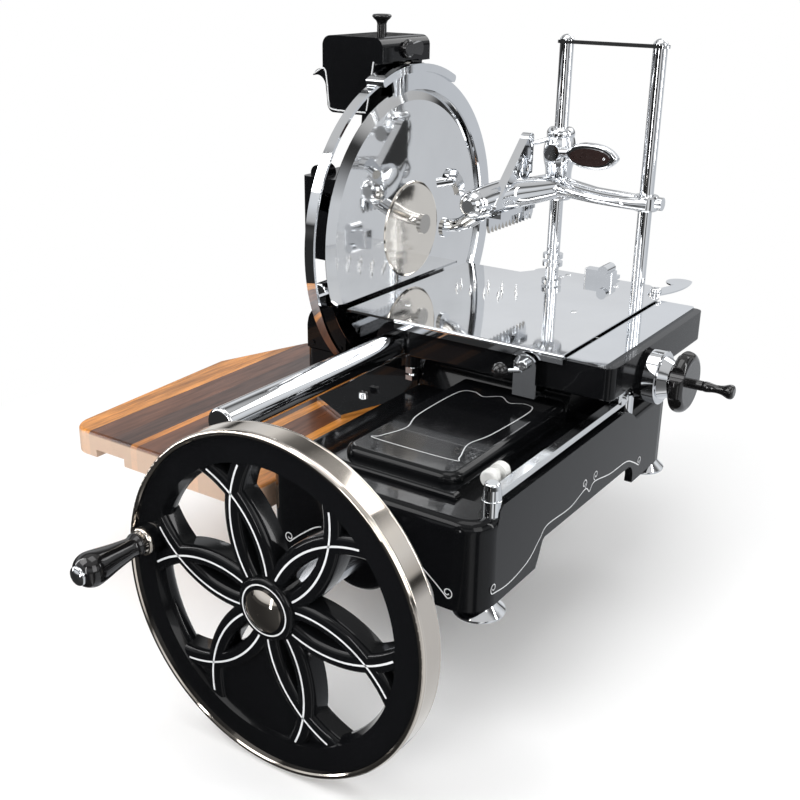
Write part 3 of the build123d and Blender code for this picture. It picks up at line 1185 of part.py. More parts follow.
def main():
    os.makedirs("parts", exist_ok=True)
    pieces = {
        "base_casting": base_casting, "levelling_feet": levelling_feet,
        "tower_casting": tower_casting, "tower_cover": tower_cover,
        "guide_tube": guide_tube, "tube_saddle": tube_saddle, "guide_rail": rail_bar,
        "rail_posts": rail_posts, "carriage_buffer": carriage_buffer, "guard_ring": guard_ring,
        "guard_lower_mount": guard_lower_mount, "board_clip_plate": board_clip_plate,
        "shaft_bushes": shaft_bushes, "blade_bearing": blade_bearing, "drive_chain": drive_chain,
        "sharpener_saddle": sharpener_saddle, "sharpener_housing": sharpener_housing,
        "flywheel_casting": flywheel_casting, "flywheel_band": flywheel_band, "hub_cap": hub_cap,
        "flywheel_shaft": flywheel_shaft, "main_gear": main_gear, "handle_stud": handle_stud,
        "handle_end_cap": handle_end_cap, "handle_grip": handle_grip, "layshaft": layshaft,
        "cross_shaft": cross_shaft, "blade": blade, "blade_cover_plate": blade_cover_plate,
        "blade_shaft": blade_shaft, "carriage_casting": carriage_casting,
        "carriage_end_plate": carriage_end_plate, "carriage_bolt": carriage_bolt,
        "roller_bracket": roller_bracket,
        "rail_roller": rail_roller, "thickness_dial": thickness_dial, "feed_screw": feed_screw,
        "feed_knob": feed_knob, "feed_handle": feed_handle, "release_lever": release_lever,
        "release_ball": release_ball, "table_plate": table_plate,
        "table_guide_strips": table_guide_strips, "table_spikes": table_spikes,
        "feed_nut": feed_nut, "clamp_rods": clamp_rods, "rod_strap": rod_strap,
        "end_stop": end_stop, "clamp_arm": clamp_arm,
        "press_plate": press_plate, "link_rod": link_rod, "clamp_lever": clamp_lever,
        "lever_inlay": lever_inlay, "thumb_hook": thumb_hook, "tab_lever": tab_lever,
        "sharpener_plunger": sharpener_plunger, "grinding_stone": grinding_stone,
        "stone_knob": stone_knob, "slice_board": slice_board,
    }
    for name, make in pieces.items():
        write(name, make())


main()
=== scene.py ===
import bmesh
import bpy
import math
from mathutils import Matrix, Vector


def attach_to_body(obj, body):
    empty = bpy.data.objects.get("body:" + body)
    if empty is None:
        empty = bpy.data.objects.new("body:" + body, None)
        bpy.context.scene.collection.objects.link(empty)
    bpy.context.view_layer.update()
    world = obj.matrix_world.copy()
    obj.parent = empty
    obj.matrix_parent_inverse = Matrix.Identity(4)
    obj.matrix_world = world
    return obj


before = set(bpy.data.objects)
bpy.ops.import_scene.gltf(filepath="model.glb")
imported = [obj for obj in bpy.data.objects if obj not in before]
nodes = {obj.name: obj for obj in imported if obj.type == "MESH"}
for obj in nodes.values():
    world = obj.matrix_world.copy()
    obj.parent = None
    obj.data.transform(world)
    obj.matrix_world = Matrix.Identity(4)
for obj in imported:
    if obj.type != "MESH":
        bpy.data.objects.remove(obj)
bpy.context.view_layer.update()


MM = 0.001

# camera: place in millimetres, angles in degrees, focal length in the photo's pixels
CAMERA_AT = (469.3, -858.8, 491.0)
YAW, PITCH_DOWN, ROLL = 33.56, 21.5, 0.88
SENSOR = 36.0
FOCAL_PIXELS = 1114.74
PHOTO_WIDTH = 800

# studio: FLOOR_Z in millimetres, just below the flywheel, which hangs lower than the feet;
# the other places in metres, and the lamps' power in watts
FLOOR_Z = -95
FLOOR_HALF = 8.0
FADE_FROM, FADE_TO = 0.30, 0.80
AMBIENT = 0.45
STUDIO_BRIGHT_SIDE = (-0.66, -0.75, 0)
LAMPS = (
    ("key", (-0.9, -1.3, 1.6), (0, 0, 0.15), (1.3, 1.3), 20),
    ("fill", (1.7, -0.9, 1.0), (0, 0, 0.15), (1.0, 1.4), 12),
    ("back", (0.3, 1.7, 1.5), (0, 0, 0.2), (1.6, 0.8), 12),
    ("top", (0.0, 0.0, 2.0), (0, 0, 0), (1.2, 1.2), 10),
    ("strip_left", (-1.3, -0.8, 0.75), (0, -0.1, 0.1), (0.16, 1.5), 7),
    ("strip_front", (0.15, -1.9, 0.5), (0, 0, 0.1), (0.12, 1.2), 6),
    ("strip_right", (1.35, 0.55, 0.7), (0, 0, 0.15), (0.14, 1.4), 6),
)


# ---- camera and studio
def add_camera():
    yaw, pitch, roll = (math.radians(angle) for angle in (YAW, PITCH_DOWN, ROLL))
    forward = Vector((-math.sin(yaw) * math.cos(pitch), math.cos(yaw) * math.cos(pitch), -math.sin(pitch)))
    level = Vector((math.cos(yaw), math.sin(yaw), 0))
    upward = level.cross(forward)
    right = level * math.cos(roll) + upward * math.sin(roll)
    up = upward * math.cos(roll) - level * math.sin(roll)
    data = bpy.data.cameras.new("camera")
    data.sensor_width = SENSOR
    data.lens = SENSOR * FOCAL_PIXELS / PHOTO_WIDTH
    data.clip_start = 0.01
    cam = bpy.data.objects.new("camera", data)
    bpy.context.scene.collection.objects.link(cam)
    turn = Matrix((right, up, -forward)).transposed()
    cam.matrix_world = Matrix.Translation(Vector(CAMERA_AT) * MM) @ turn.to_4x4()
    bpy.context.scene.camera = cam


def add_light(name, place, target, size, energy):
    data = bpy.data.lights.new(name, "AREA")
    data.shape = "RECTANGLE"
    data.size, data.size_y = size
    data.energy = energy
    lamp = bpy.data.objects.new(name, data)
    bpy.context.scene.collection.objects.link(lamp)
    lamp.location = place
    lamp.rotation_euler = (Vector(target) - Vector(place)).to_track_quat("-Z", "Y").to_euler()


def mirrored_studio(tree):
    """What polished faces reflect: a white studio with a dark front corner and a few dark flags."""
    coord = tree.nodes.new("ShaderNodeTexCoord")
    split = tree.nodes.new("ShaderNodeSeparateXYZ")
    tree.links.new(coord.outputs["Generated"], split.inputs[0])
    height = maths(tree, "MULTIPLY_ADD", split.outputs["Z"], 0.5, 0.5)
    upper = ramp(tree, height, (0.50, 0.08), (0.54, 0.03), (0.56, 0.50),
                 (0.64, (0.78, 0.80, 0.83)), (0.72, (0.86, 0.87, 0.88)),
                 (0.78, 0.20), (0.82, 0.10), (0.87, 0.62), (1.0, 0.70))
    flat = node(tree, "ShaderNodeVectorMath", operation="MULTIPLY")
    flat.inputs[1].default_value = (1, 1, 0)
    tree.links.new(coord.outputs["Generated"], flat.inputs[0])
    unit = node(tree, "ShaderNodeVectorMath", operation="NORMALIZE")
    tree.links.new(flat.outputs[0], unit.inputs[0])
    side = node(tree, "ShaderNodeVectorMath", operation="DOT_PRODUCT")
    side.inputs[1].default_value = STUDIO_BRIGHT_SIDE
    tree.links.new(unit.outputs[0], side.inputs[0])
    turned_to = maths(tree, "MULTIPLY_ADD", side.outputs["Value"], 0.5, 0.5)
    lower = ramp(tree, turned_to, (0.0, (0.62, 0.64, 0.67)), (0.16, (0.80, 0.82, 0.84)),
                 (0.30, (0.70, 0.71, 0.73)), (0.335, 0.06), (0.42, 0.04), (0.46, 0.75),
                 (0.56, 0.90), (0.62, 0.30), (0.70, 0.06), (1.0, 0.03))
    above = ramp(tree, height, (0.46, 0.0), (0.52, 1.0))
    return mix_colours(tree, above, lower, upper)


def add_world():
    world = bpy.data.worlds.new("studio")
    bpy.context.scene.world = world
    world.use_nodes = True
    tree = world.node_tree
    tree.nodes.clear()
    out = tree.nodes.new("ShaderNodeOutputWorld")
    seen = tree.nodes.new("ShaderNodeBackground")
    seen.inputs[0].default_value = (1, 1, 1, 1)
    mirrored = tree.nodes.new("ShaderNodeBackground")
    tree.links.new(mirrored_studio(tree), mirrored.inputs[0])
    plain = tree.nodes.new("ShaderNodeBackground")
    plain.inputs[0].default_value = (1, 1, 1, 1)
    plain.inputs[1].default_value = AMBIENT
    path = tree.nodes.new("ShaderNodeLightPath")
    shiny = maths(tree, "MAXIMUM", path.outputs["Is Glossy Ray"], path.outputs["Is Transmission Ray"])
    lit = mix_shaders(tree, shiny, plain.outputs[0], mirrored.outputs[0])
    shown = mix_shaders(tree, path.outputs["Is Camera Ray"], lit, seen.outputs[0])
    tree.links.new(shown, out.inputs[0])


def add_floor():
    """Pale floor that fades into the white background away from the machine; it keeps the shadow."""
    z = FLOOR_Z * MM
    s = FLOOR_HALF
    mesh = bpy.data.meshes.new("floor")
    mesh.from_pydata([(-s, -s, z), (s, -s, z), (s, s, z), (-s, s, z)], [], [(0, 1, 2, 3)])
    floor = bpy.data.objects.new("floor", mesh)
    bpy.context.scene.collection.objects.link(floor)
    mat, tree, shader = material("floor_white")
    shader.inputs["Base Color"].default_value = (0.95, 0.95, 0.95, 1)
    shader.inputs["Roughness"].default_value = 0.9
    shader.inputs["Specular IOR Level"].default_value = 0.0
    far = node(tree, "ShaderNodeVectorMath", operation="LENGTH")
    tree.links.new(coordinates(tree), far.inputs[0])
    fade = ramp(tree, far.outputs["Value"], (FADE_FROM, 0.0), (FADE_TO, 1.0))
    path = tree.nodes.new("ShaderNodeLightPath")
    white = node(tree, "ShaderNodeEmission")
    white.inputs["Color"].default_value = (1, 1, 1, 1)
    white.inputs["Strength"].default_value = 1.0
    share = maths(tree, "MULTIPLY", fade, path.outputs["Is Camera Ray"])
    out = next(n for n in tree.nodes if n.type == "OUTPUT_MATERIAL")
    tree.links.new(mix_shaders(tree, share, shader.outputs[0], white.outputs[0]), out.inputs[0])
    mesh.materials.append(mat)
    floor.visible_glossy = False


# ---- materials
def material(name):
    mat = bpy.data.materials.new(name)
    mat.use_nodes = True
    tree = mat.node_tree
    shader = next(n for n in tree.nodes if n.type == "BSDF_PRINCIPLED")
    return mat, tree, shader


def node(tree, kind, **values):
    n = tree.nodes.new(kind)
    for key, value in values.items():
        if key in n.inputs:
            n.inputs[key].default_value = value
        else:
            setattr(n, key, value)
    return n


def coordinates(tree, scale=(1, 1, 1)):
    coord = tree.nodes.new("ShaderNodeTexCoord")
    mapping = tree.nodes.new("ShaderNodeMapping")
    mapping.inputs["Scale"].default_value = scale
    tree.links.new(coord.outputs["Object"], mapping.inputs[0])
    return mapping.outputs[0]


def feed(tree, slot, value):
    """Link a socket to an input, or set the input to a plain value."""
    if isinstance(value, bpy.types.NodeSocket):
        tree.links.new(value, slot)
    else:
        slot.default_value = value


def maths(tree, operation, *values):
    """Math node fed by sockets or plain numbers."""
    n = node(tree, "ShaderNodeMath", operation=operation)
    for slot, value in zip(n.inputs, values):
        feed(tree, slot, value)
    return n.outputs[0]


def mix_colours(tree, share, first, second, blend_type="MIX"):
    """Colour mix; the numbers are the colour sockets' places on Blender's mix node."""
    factor_slot, first_slot, second_slot, result_slot = 0, 6, 7, 2
    n = node(tree, "ShaderNodeMix", data_type="RGBA", blend_type=blend_type)
    feed(tree, n.inputs[factor_slot], share)
    feed(tree, n.inputs[first_slot], first)
    feed(tree, n.inputs[second_slot], second)
    return n.outputs[result_slot]


def mix_shaders(tree, share, first, second):
    n = tree.nodes.new("ShaderNodeMixShader")
    for slot, socket in zip(n.inputs, (share, first, second)):
        tree.links.new(socket, slot)
    return n.outputs[0]


def ramp(tree, source, *stops):
    """Colour ramp; each stop is a place and a colour or a grey level."""
    r = tree.nodes.new("ShaderNodeValToRGB")
    elements = r.color_ramp.elements
    while len(elements) < len(stops):
        elements.new(0.5)
    for element, (place, colour) in zip(elements, stops):
        element.position = place
        element.color = (*colour, 1) if isinstance(colour, tuple) else (colour, colour, colour, 1)
    tree.links.new(source, r.inputs[0])
    return r.outputs[0]


def bump(tree, shader, height, strength, distance):
    b = tree.nodes.new("ShaderNodeBump")
    b.inputs["Strength"].default_value = strength
    b.inputs["Distance"].default_value = distance
    tree.links.new(height, b.inputs["Height"])
    tree.links.new(b.outputs[0], shader.inputs["Normal"])


def noise(tree, vector, scale, detail=3.0, rough=0.5):
    n = tree.nodes.new("ShaderNodeTexNoise")
    n.inputs["Scale"].default_value = scale
    n.inputs["Detail"].default_value = detail
    n.inputs["Roughness"].default_value = rough
    tree.links.new(vector, n.inputs["Vector"])
    return n.outputs["Fac"]


def metal(name, colour, rough, spread=0.03, grain=None, wave=0.00004):
    """Polished metal: roughness varies a little in patches, and a faint waviness bends reflections."""
    mat, tree, shader = material(name)
    shader.inputs["Metallic"].default_value = 1.0
    here = coordinates(tree)
    tint = noise(tree, here, 14, 4)
    low = tuple(c * 0.93 for c in colour)
    tree.links.new(ramp(tree, tint, (0.3, low), (0.7, colour)), shader.inputs["Base Color"])
    patch = noise(tree, here, 60 if grain is None else 9, 5, 0.6)
    tree.links.new(ramp(tree, patch, (0.25, max(0.01, rough - spread / 2)), (0.8, rough + spread)),
                   shader.inputs["Roughness"])
    if grain is None:
        bump(tree, shader, noise(tree, here, 35, 2), 0.15, wave)
    else:
        bump(tree, shader, noise(tree, coordinates(tree, grain), 1.0, 4, 0.7), 0.12, 0.00003)
    return mat


def enamel(name, colour=(0.0035, 0.0037, 0.0042)):
    """Thick black enamel under a clear coat, with a faint orange-peel surface."""
    mat, tree, shader = material(name)
    here = coordinates(tree)
    tree.links.new(ramp(tree, noise(tree, here, 7, 3), (0.3, colour), (0.8, tuple(c * 1.7 for c in colour))),
                   shader.inputs["Base Color"])
    tree.links.new(ramp(tree, noise(tree, here, 90, 4), (0.3, 0.10), (0.75, 0.17)),
                   shader.inputs["Roughness"])
    shader.inputs["Specular IOR Level"].default_value = 0.10
    shader.inputs["Coat Weight"].default_value = 0.30
    shader.inputs["Coat IOR"].default_value = 1.4
    shader.inputs["Coat Roughness"].default_value = 0.025
    bump(tree, shader, noise(tree, here, 260, 2), 0.08, 0.00005)
    return mat


def lacquer(name, colour, rough=0.09):
    """Turned and lacquered handle with fine rings of polish."""
    mat, tree, shader = material(name)
    here = coordinates(tree)
    worn = tuple(c * 1.6 + 0.002 for c in colour)
    tree.links.new(ramp(tree, noise(tree, here, 40, 4), (0.3, colour), (0.75, worn)),
                   shader.inputs["Base Color"])
    tree.links.new(ramp(tree, noise(tree, here, 120, 3), (0.3, rough), (0.8, rough + 0.08)),
                   shader.inputs["Roughness"])
    shader.inputs["Specular IOR Level"].default_value = 0.3
    shader.inputs["Coat Weight"].default_value = 0.5
    shader.inputs["Coat Roughness"].default_value = 0.04
    bump(tree, shader, noise(tree, here, 400, 2), 0.05, 0.00003)
    return mat


BOARD_LEFT, BOARD_RIGHT = -0.370, -0.114
HONEY = (0.56, 0.24, 0.045)
AMBER = (0.47, 0.19, 0.035)
WALNUT = (0.105, 0.036, 0.012)
DARK = (0.048, 0.016, 0.006)
# painted light: one pale colour given to every upright face of the board, as if lit
PAINTED_EDGE_LIGHT = (0.70, 0.52, 0.40, 1)


def board_wood():
    """Planks of pale and dark wood glued side by side, grain along them, and painted light: every upright
    face is made paler, as if lit.
    """
    mat, tree, shader = material("board_planks")
    coord = tree.nodes.new("ShaderNodeTexCoord")
    split = tree.nodes.new("ShaderNodeSeparateXYZ")
    tree.links.new(coord.outputs["Object"], split.inputs[0])
    place = node(tree, "ShaderNodeMapRange")
    place.inputs["From Min"].default_value = BOARD_LEFT
    place.inputs["From Max"].default_value = BOARD_RIGHT
    tree.links.new(split.outputs["X"], place.inputs[0])
    planks = ramp(tree, place.outputs[0], (0.0, HONEY), (0.15, WALNUT), (0.27, DARK), (0.375, AMBER),
                  (0.405, WALNUT), (0.55, DARK), (0.66, HONEY), (0.71, WALNUT), (0.84, HONEY), (0.93, AMBER))
    planks.node.color_ramp.interpolation = "CONSTANT"
    grain = noise(tree, coordinates(tree, (1, 0.07, 1)), 190, 7, 0.65)
    figure = noise(tree, coordinates(tree, (1, 0.22, 1)), 38, 4, 0.6)
    streaks = ramp(tree, grain, (0.32, (0.34, 0.28, 0.24)), (0.6, (1.3, 1.22, 1.1)))
    clouds = ramp(tree, figure, (0.3, (0.65, 0.6, 0.55)), (0.7, (1.45, 1.35, 1.2)))
    shade = mix_colours(tree, 0.85, planks, streaks, "MULTIPLY")
    glow = mix_colours(tree, 0.7, shade, clouds, "MULTIPLY")
    shape = tree.nodes.new("ShaderNodeNewGeometry")
    facing = tree.nodes.new("ShaderNodeSeparateXYZ")
    tree.links.new(shape.outputs["Normal"], facing.inputs[0])
    # painted light: faces that stand upright are mixed towards one pale colour, whatever plank they belong
    # to
    painted_edge_share = ramp(tree, facing.outputs["Z"], (0.15, 0.82), (0.6, 0.0))
    tree.links.new(mix_colours(tree, painted_edge_share, glow, PAINTED_EDGE_LIGHT), shader.inputs["Base Color"])
    tree.links.new(ramp(tree, grain, (0.3, 0.42), (0.7, 0.26)), shader.inputs["Roughness"])
    shader.inputs["Coat Weight"].default_value = 0.25
    shader.inputs["Coat Roughness"].default_value = 0.2
    bump(tree, shader, grain, 0.25, 0.0002)
    return mat


def matte(name, colour, rough=0.7, scale=300):
    """Dull surface with a fine mottle."""
    mat, tree, shader = material(name)
    here = coordinates(tree)
    low = tuple(c * 0.8 for c in colour)
    tree.links.new(ramp(tree, noise(tree, here, scale, 5), (0.3, low), (0.7, colour)),
                   shader.inputs["Base Color"])
    shader.inputs["Roughness"].default_value = rough
    bump(tree, shader, noise(tree, here, scale * 3, 3), 0.3, 0.0001)
    return mat


MATERIALS = {
    "black": enamel("black_enamel"),
    "chrome": metal("mirror_chrome", (0.78, 0.795, 0.815), 0.035),
    "nickel": metal("warm_nickel", (0.74, 0.68, 0.61), 0.07),
    "steel": metal("polished_steel", (0.80, 0.81, 0.82), 0.09, grain=(400, 6, 400)),
    "blade": metal("blade_steel", (0.82, 0.825, 0.83), 0.045, spread=0.02),
    "cover": metal("cover_plate", (0.86, 0.81, 0.74), 0.08, spread=0.03),
    "dark_steel": metal("machine_steel", (0.42, 0.43, 0.45), 0.22, grain=(300, 300, 8)),
    "bronze": metal("bush_bronze", (0.62, 0.40, 0.20), 0.25),
    "handle": lacquer("black_handle", (0.0045, 0.0043, 0.0045)),
    "wood": board_wood(),
    "inlay": lacquer("inlay_brown", (0.018, 0.010, 0.009), 0.2),
    "stone": matte("grit_stone", (0.42, 0.40, 0.37)),
    "white": matte("white_buffer", (0.80, 0.80, 0.78), 0.4, 80),
    "stripe": matte("silver_stripe", (0.74, 0.75, 0.76), 0.35, 60),
    "grease": matte("chain_black", (0.03, 0.03, 0.03), 0.45, 200),
}
MATERIAL_OF = {
    "black": "base_casting tower_casting tower_cover flywheel_casting carriage_casting sharpener_housing",
    "chrome": "guide_tube tube_saddle rail_posts guard_ring guard_lower_mount handle_end_cap "
              "thickness_dial clamp_rods rod_strap end_stop clamp_arm link_rod clamp_lever "
              "table_guide_strips sharpener_saddle press_plate thumb_hook carriage_end_plate "
              "release_lever tab_lever levelling_feet",
    "nickel": "hub_cap handle_stud flywheel_band",
    "blade": "blade table_plate",
    "steel": "guide_rail board_clip_plate roller_bracket carriage_bolt table_spikes",
    "dark_steel": "flywheel_shaft main_gear layshaft cross_shaft blade_shaft feed_screw rail_roller",
    "bronze": "shaft_bushes blade_bearing feed_nut",
    "handle": "handle_grip release_ball feed_knob feed_handle sharpener_plunger stone_knob",
    "wood": "slice_board",
    "inlay": "lever_inlay",
    "stone": "grinding_stone",
    "white": "carriage_buffer",
    "cover": "blade_cover_plate",
    "grease": "drive_chain",
}


def soften(mesh, angle=34):
    """Smooth shading with the real edges kept crisp."""
    mesh.shade_smooth()
    mesh.set_sharp_from_angle(angle=math.radians(angle))


def dress_nodes():
    for key, names in MATERIAL_OF.items():
        for name in names.split():
            mesh = nodes[name].data
            mesh.materials.clear()
            mesh.materials.append(MATERIALS[key])
            soften(mesh)


# ---- pieces
def attach(name, data, body):
    """Put a piece in the scene, on the body that it moves with."""
    obj = bpy.data.objects.new(name, data)
    bpy.context.scene.collection.objects.link(obj)
    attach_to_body(obj, body)


def line(name, points, radius, mat, body):
    """Thin raised bead through points given in millimetres."""
    data = bpy.data.curves.new(name, "CURVE")
    data.dimensions = "3D"
    data.bevel_depth = radius * MM
    data.bevel_resolution = 2
    spline = data.splines.new("POLY")
    spline.points.add(len(points) - 1)
    for p, xyz in zip(spline.points, points):
        p.co = (xyz[0] * MM, xyz[1] * MM, xyz[2] * MM, 1)
    data.materials.append(MATERIALS[mat])
    attach(name, data, body)


PAINT_LIFT = 0.12


def flat_stripe(name, points, width, normal, mat, body, closed=False):
    """Painted stripe: a thin ribbon that lies on a face with the given normal."""
    n = Vector(normal).normalized()
    pts = [Vector(p) for p in points]
    count = len(pts)
    verts, faces = [], []
    for i, p in enumerate(pts):
        before = pts[(i - 1) % count] if closed or i > 0 else p
        after = pts[(i + 1) % count] if closed or i < count - 1 else p
        side = (after - before).cross(n).normalized() * width / 2
        verts += [(p + side + n * PAINT_LIFT) * MM, (p - side + n * PAINT_LIFT) * MM]
    for i in range(count if closed else count - 1):
        a, b = 2 * i, 2 * ((i + 1) % count)
        faces.append((a, a + 1, b + 1, b))
    mesh = bpy.data.meshes.new(name)
    mesh.from_pydata(verts, [], faces)
    mesh.materials.append(MATERIALS[mat])
    attach(name, mesh, body)


def swept(name, points, profile, normal, mat, body):
    """Bar swept along a path: the profile is (across, outward) pairs, outward along the normal."""
    n = Vector(normal).normalized()
    pts = [Vector(p) for p in points]
    verts, faces = [], []
    size = len(profile)
    for i, p in enumerate(pts):
        ahead = pts[min(i + 1, len(pts) - 1)] - pts[max(i - 1, 0)]
        side = ahead.cross(n).normalized()
        verts += [(p + side * across + n * outward) * MM for across, outward in profile]
    for i in range(len(pts) - 1):
        for k in range(size - 1):
            a, b = i * size + k, (i + 1) * size + k
            faces.append((a, a + 1, b + 1, b))
    mesh = bpy.data.meshes.new(name)
    mesh.from_pydata(verts, [], faces)
    mesh.materials.append(MATERIALS[mat])
    soften(mesh, 50)
    attach(name, mesh, body)


def limb(name, stations, mat, body, steps=10, count=36):
    """Smooth cast limb with oval sections; each station is a point, a half width and a half height."""
    path = curve_through([st[0] for st in stations], False, steps)
    sizes = curve_through([(st[1], st[2], 0) for st in stations], False, steps)
    pts = [Vector(p) for p in path]
    verts, faces = [], []
    for i, p in enumerate(pts):
        ahead = (pts[min(i + 1, len(pts) - 1)] - pts[max(i - 1, 0)]).normalized()
        side = ahead.cross(Vector((0, 0, 1))).normalized()
        up = side.cross(ahead).normalized()
        wide, high = sizes[i][0], sizes[i][1]
        for k in range(count):
            t = 2 * math.pi * k / count
            verts.append((p + side * wide * math.cos(t) + up * high * math.sin(t)) * MM)
    for i in range(len(pts) - 1):
        for k in range(count):
            a, b = i * count + k, i * count + (k + 1) % count
            faces.append((a, b, b + count, a + count))
    faces.append(tuple(range(count))[::-1])
    faces.append(tuple(range((len(pts) - 1) * count, len(pts) * count)))
    mesh = bpy.data.meshes.new(name)
    mesh.from_pydata(verts, [], faces)
    mesh.materials.append(MATERIALS[mat])
    soften(mesh, 60)
    attach(name, mesh, body)


WHEEL_Z = 47.1
HUB_STRIPE_Y = -327.4
HUB_STRIPE_R = 20.5
PETAL_COUNT = 6
PETAL_TURN = -9.5
PETAL_FRONT = -323.5
PETAL_R = 90.0
PETAL_BAR_REACH = (22, 119)
PETAL_STRIPE_REACH = (27, 112)
ARC_STEPS = 32
PETAL_PROFILE = [(-8.2, -19), (-8.2, -6), (-7.7, -3.6), (-6.6, -1.8), (-4.9, -0.6), (-2.6, -0.05), (0, 0.1),
                 (2.6, -0.05), (4.9, -0.6), (6.6, -1.8), (7.7, -3.6), (8.2, -6), (8.2, -19)]


def petal_arc(angle, sign, start, end, y):
    """Arc from near the hub to a distance from it, on the circle through the hub's centre."""
    cx, cz = PETAL_R * math.cos(angle), WHEEL_Z + PETAL_R * math.sin(angle)
    low, high = 2 * math.asin(start / (2 * PETAL_R)), 2 * math.asin(end / (2 * PETAL_R))
    points = []
    for i in range(ARC_STEPS + 1):
        t = angle + math.pi + sign * (low + (high - low) * i / ARC_STEPS)
        points.append((cx + PETAL_R * math.cos(t), y, cz + PETAL_R * math.sin(t)))
    return points


def petals():
    out = (0, -1, 0)
    for k in range(PETAL_COUNT):
        angle = math.radians(PETAL_TURN + 360 / PETAL_COUNT * k)
        for sign, tag in ((1, "a"), (-1, "b")):
            bar = petal_arc(angle, sign, *PETAL_BAR_REACH, PETAL_FRONT)
            swept(f"petal_bar_{k}{tag}", bar, PETAL_PROFILE, out, "black", "flywheel")
            edge = petal_arc(angle, sign, *PETAL_STRIPE_REACH, PETAL_FRONT - 0.1)
            flat_stripe(f"petal_stripe_{k}{tag}", edge, 1.6, out, "stripe", "flywheel")


def circle_points(cx, y, cz, radius, count):
    """Points of a circle that faces the front."""
    points = []
    for i in range(count):
        t = 2 * math.pi * i / count
        points.append((cx + radius * math.cos(t), y, cz + radius * math.sin(t)))
    return points


def wheel_trim():
    petals()
    ring = circle_points(0, HUB_STRIPE_Y, WHEEL_Z, HUB_STRIPE_R, 64)
    flat_stripe("hub_stripe", ring, 1.2, (0, -1, 0), "stripe", "flywheel", closed=True)


DECK_TOP = 104.0
SIDE_FACE = 108.0
FRONT_FACE = -200.0
HOUSING_FRONT = 100.0
CURL_R = 5.0


def deck_stripes():
    """Plain pinstripe frame on the deck, with a pointed end."""
    w = 40.0
    frame_line = [(-w, -128), (w - 4, -128), (w, -120), (w - 8, -92), (w - 2, -60), (w, 8), (w - 12, 20),
                  (14, 14), (0, 24), (-14, 14), (-w + 12, 20), (-w, 8), (-w, -60), (-w + 8, -92), (-w, -120)]
    smooth = curve_through([(x, y, DECK_TOP) for x, y in frame_line], True, 8)
    flat_stripe("deck_stripe", smooth, 1.0, (0, 0, 1), "stripe", "base", closed=True)


def curve_through(points, closed, steps):
    """Points of a smooth curve through the given points."""
    pts = [Vector(p) for p in points]
    count = len(pts)
    out = []
    for i in range(count if closed else count - 1):
        if closed:
            p0, p1, p2, p3 = (pts[(i + k) % count] for k in (-1, 0, 1, 2))
        else:
            p0, p1, p2, p3 = pts[max(i - 1, 0)], pts[i], pts[i + 1], pts[min(i + 2, count - 1)]
        for s in range(steps):
            t = s / steps
            out.append(0.5 * ((2 * p1) + (p2 - p0) * t + (2 * p0 - 5 * p1 + 4 * p2 - p3) * t * t
                              + (3 * p1 - p0 - 3 * p2 + p3) * t ** 3))
    if not closed:
        out.append(pts[-1])
    return [tuple(p) for p in out]


def curl(cx, cz, radius, start, turns, count=22):
    """Spiral in a plane, as pairs."""
    out = []
    for i in range(count):
        t = i / (count - 1)
        a = start + turns * 2 * math.pi * t
        out.append((cx + radius * (1 - 0.75 * t) * math.cos(a), cz + radius * (1 - 0.75 * t) * math.sin(a)))
    return out


def side_stripes():
    """Scrolling pinstripe along the right side's lower edge and the front's, of a common kind."""
    x = SIDE_FACE
    run = [(-176, 24), (-150, 21), (-118, 26), (-98, 38), (-84, 46), (-40, 44), (-10, 50), (0, 44), (10, 50),
           (46, 44), (84, 42), (104, 34), (118, 26)]
    smooth = curve_through([(x, y, z) for y, z in run], False, 8)
    flat_stripe("side_stripe", smooth, 1.1, (1, 0, 0), "stripe", "base")
    curls = (("a", -176, 29, -1.6), ("b", -12, 56, -1.2), ("c", 12, 56, 4.4), ("d", 118, 31, -1.6))
    for name, y, z, start in curls:
        turns = 1.2 if name in "bd" else -1.2
        pts = [(x, p[0], p[1]) for p in curl(y, z, CURL_R, start, turns)]
        flat_stripe("side_curl_" + name, pts, 0.9, (1, 0, 0), "stripe", "base")
    y = FRONT_FACE
    run = [(80, 22), (66, 34), (48, 46), (24, 50)]
    for sign, tag in ((1, "r"), (-1, "l")):
        smooth = curve_through([(sign * px, y, pz) for px, pz in run], False, 8)
        flat_stripe("front_stripe_" + tag, smooth, 1.1, (0, -1, 0), "stripe", "base")
        pts = [(sign * p[0], y, p[1]) for p in curl(80, 27, CURL_R, -1.6, 1.2)]
        flat_stripe("front_curl_" + tag, pts, 0.9, (0, -1, 0), "stripe", "base")


def housing_trim():
    """Bright edge lines on the sharpener housing's front."""
    y = HOUSING_FRONT - 0.2
    edge = [(-281, 380), (-268, 386), (-264, 372), (-262, 352), (-256, 345), (-214, 345)]
    step = [(-205, 396), (-209, 372), (-213.5, 347)]
    for name, run in (("housing_edge", edge), ("housing_step", step)):
        smooth = curve_through([(x, y, z) for x, z in run], False, 6)
        line(name, smooth, 0.8, "stripe", "base")


SCREW_PROFILE = [(1.0, 0.0), (1.0, 0.35), (0.86, 0.75), (0.5, 0.97)]
SCREW_SIDES = 28
SLOT_HALF, SLOT_FROM, SLOT_DEPTH = 0.14, 0.5, 0.45


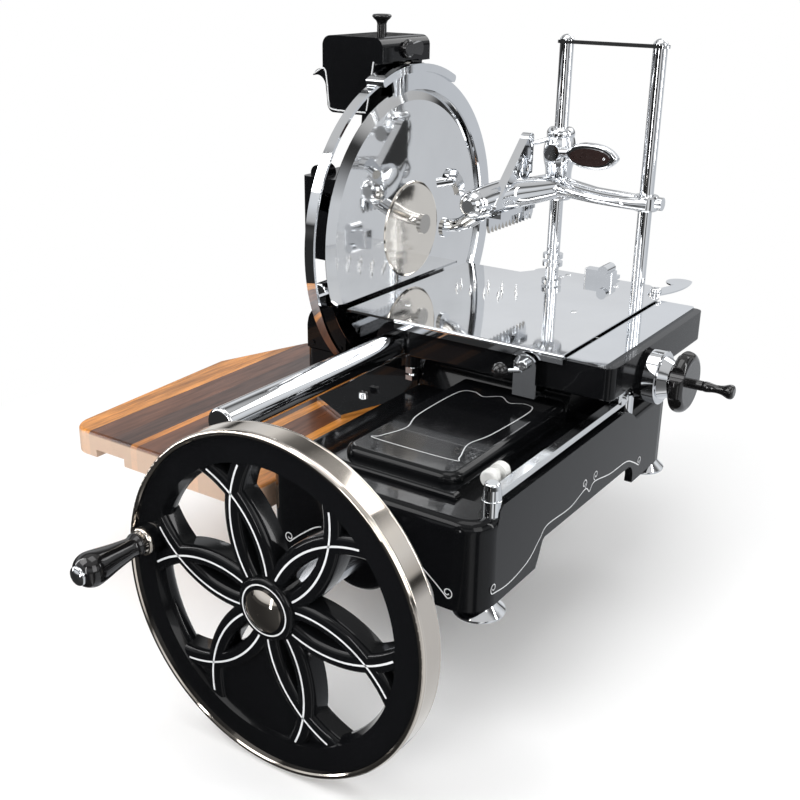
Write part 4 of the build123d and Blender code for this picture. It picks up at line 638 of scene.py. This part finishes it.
def screw(name, place, normal, radius, body, mat="steel", height=1.6):
    """Slotted oval-head screw, turned about its own axis."""
    bm = bmesh.new()
    count = SCREW_SIDES
    loops = []
    for share, rise in SCREW_PROFILE:
        loops.append([bm.verts.new((share * radius * math.cos(2 * math.pi * i / count),
                                    share * radius * math.sin(2 * math.pi * i / count), rise * height))
                      for i in range(count)])
    top = bm.verts.new((0, 0, height))
    for low, high in zip(loops, loops[1:]):
        for i in range(count):
            bm.faces.new((low[i], low[(i + 1) % count], high[(i + 1) % count], high[i]))
    for i in range(count):
        bm.faces.new((loops[-1][i], loops[-1][(i + 1) % count], top))
    for v in bm.verts:
        if abs(v.co.y) < radius * SLOT_HALF and v.co.z > height * SLOT_FROM:
            v.co.z -= height * SLOT_DEPTH
    mesh = bpy.data.meshes.new(name)
    bm.to_mesh(mesh)
    bm.free()
    for face in mesh.polygons:
        face.use_smooth = True
    turn = Vector((0, 0, 1)).rotation_difference(Vector(normal)).to_matrix().to_4x4()
    mesh.transform(Matrix.Scale(MM, 4))
    mesh.transform(turn)
    mesh.transform(Matrix.Translation(Vector(place) * MM))
    mesh.materials.append(MATERIALS[mat])
    attach(name, mesh, body)


def screws():
    up = (0, 0, 1)
    for i, (x, y) in enumerate(((-55, 274), (13, 146.5), (-136, 66), (-58, 262), (8, 262))):
        screw(f"table_screw_{i}", (x, y, 161), up, 3.2, "food_table", height=0.9)
    screw("clip_screw", (-166, 30, 68.5), up, 5.2, "base", height=1.4)
    screw("tab_screw", (55, 262, 166), up, 5.6, "food_table", height=1.2)
    screw("lever_screw", (31, 3.5, 148), (0, -1, 0), 4.8, "carriage", height=1.2)
    screw("lever_rivet", (-10, 244.2, 300), (0, -1, 0), 1.5, "arm_lever", "chrome", 0.5)


def arm_skin():
    """Smooth polished forms of the clamp arm: leaf-shaped bridge, barrel and the paddle's root."""
    bridge = [((-66, 259, 262), 12, 11), ((-50, 250, 261.5), 11, 7.5), ((-18, 249, 258.5), 12.5, 6.5),
              ((14, 252, 256.5), 12, 6.5), ((36, 258, 255), 9, 7)]
    barrel = [((-72, 256, 262), 13, 13), ((-88, 236, 259), 14, 15), ((-104, 214, 256.5), 15.5, 17),
              ((-113, 190, 253.5), 16.5, 17), ((-119, 168, 251), 15.5, 15.5), ((-122, 157, 250), 12, 12)]
    cross = [((-118, 172, 240), 10, 9), ((-134, 178, 229), 10, 8), ((-152, 186, 221.5), 8, 7),
             ((-166, 188, 219), 7, 7)]
    for name, stations in (("arm_bridge", bridge), ("arm_barrel", barrel), ("arm_cross", cross)):
        limb(name, stations, "chrome", "arm")


dress_nodes()
wheel_trim()
deck_stripes()
side_stripes()
housing_trim()
screws()
arm_skin()
add_floor()
add_world()
for lamp in LAMPS:
    add_light(*lamp)
add_camera()
bpy.context.scene.view_settings.view_transform = "Standard"
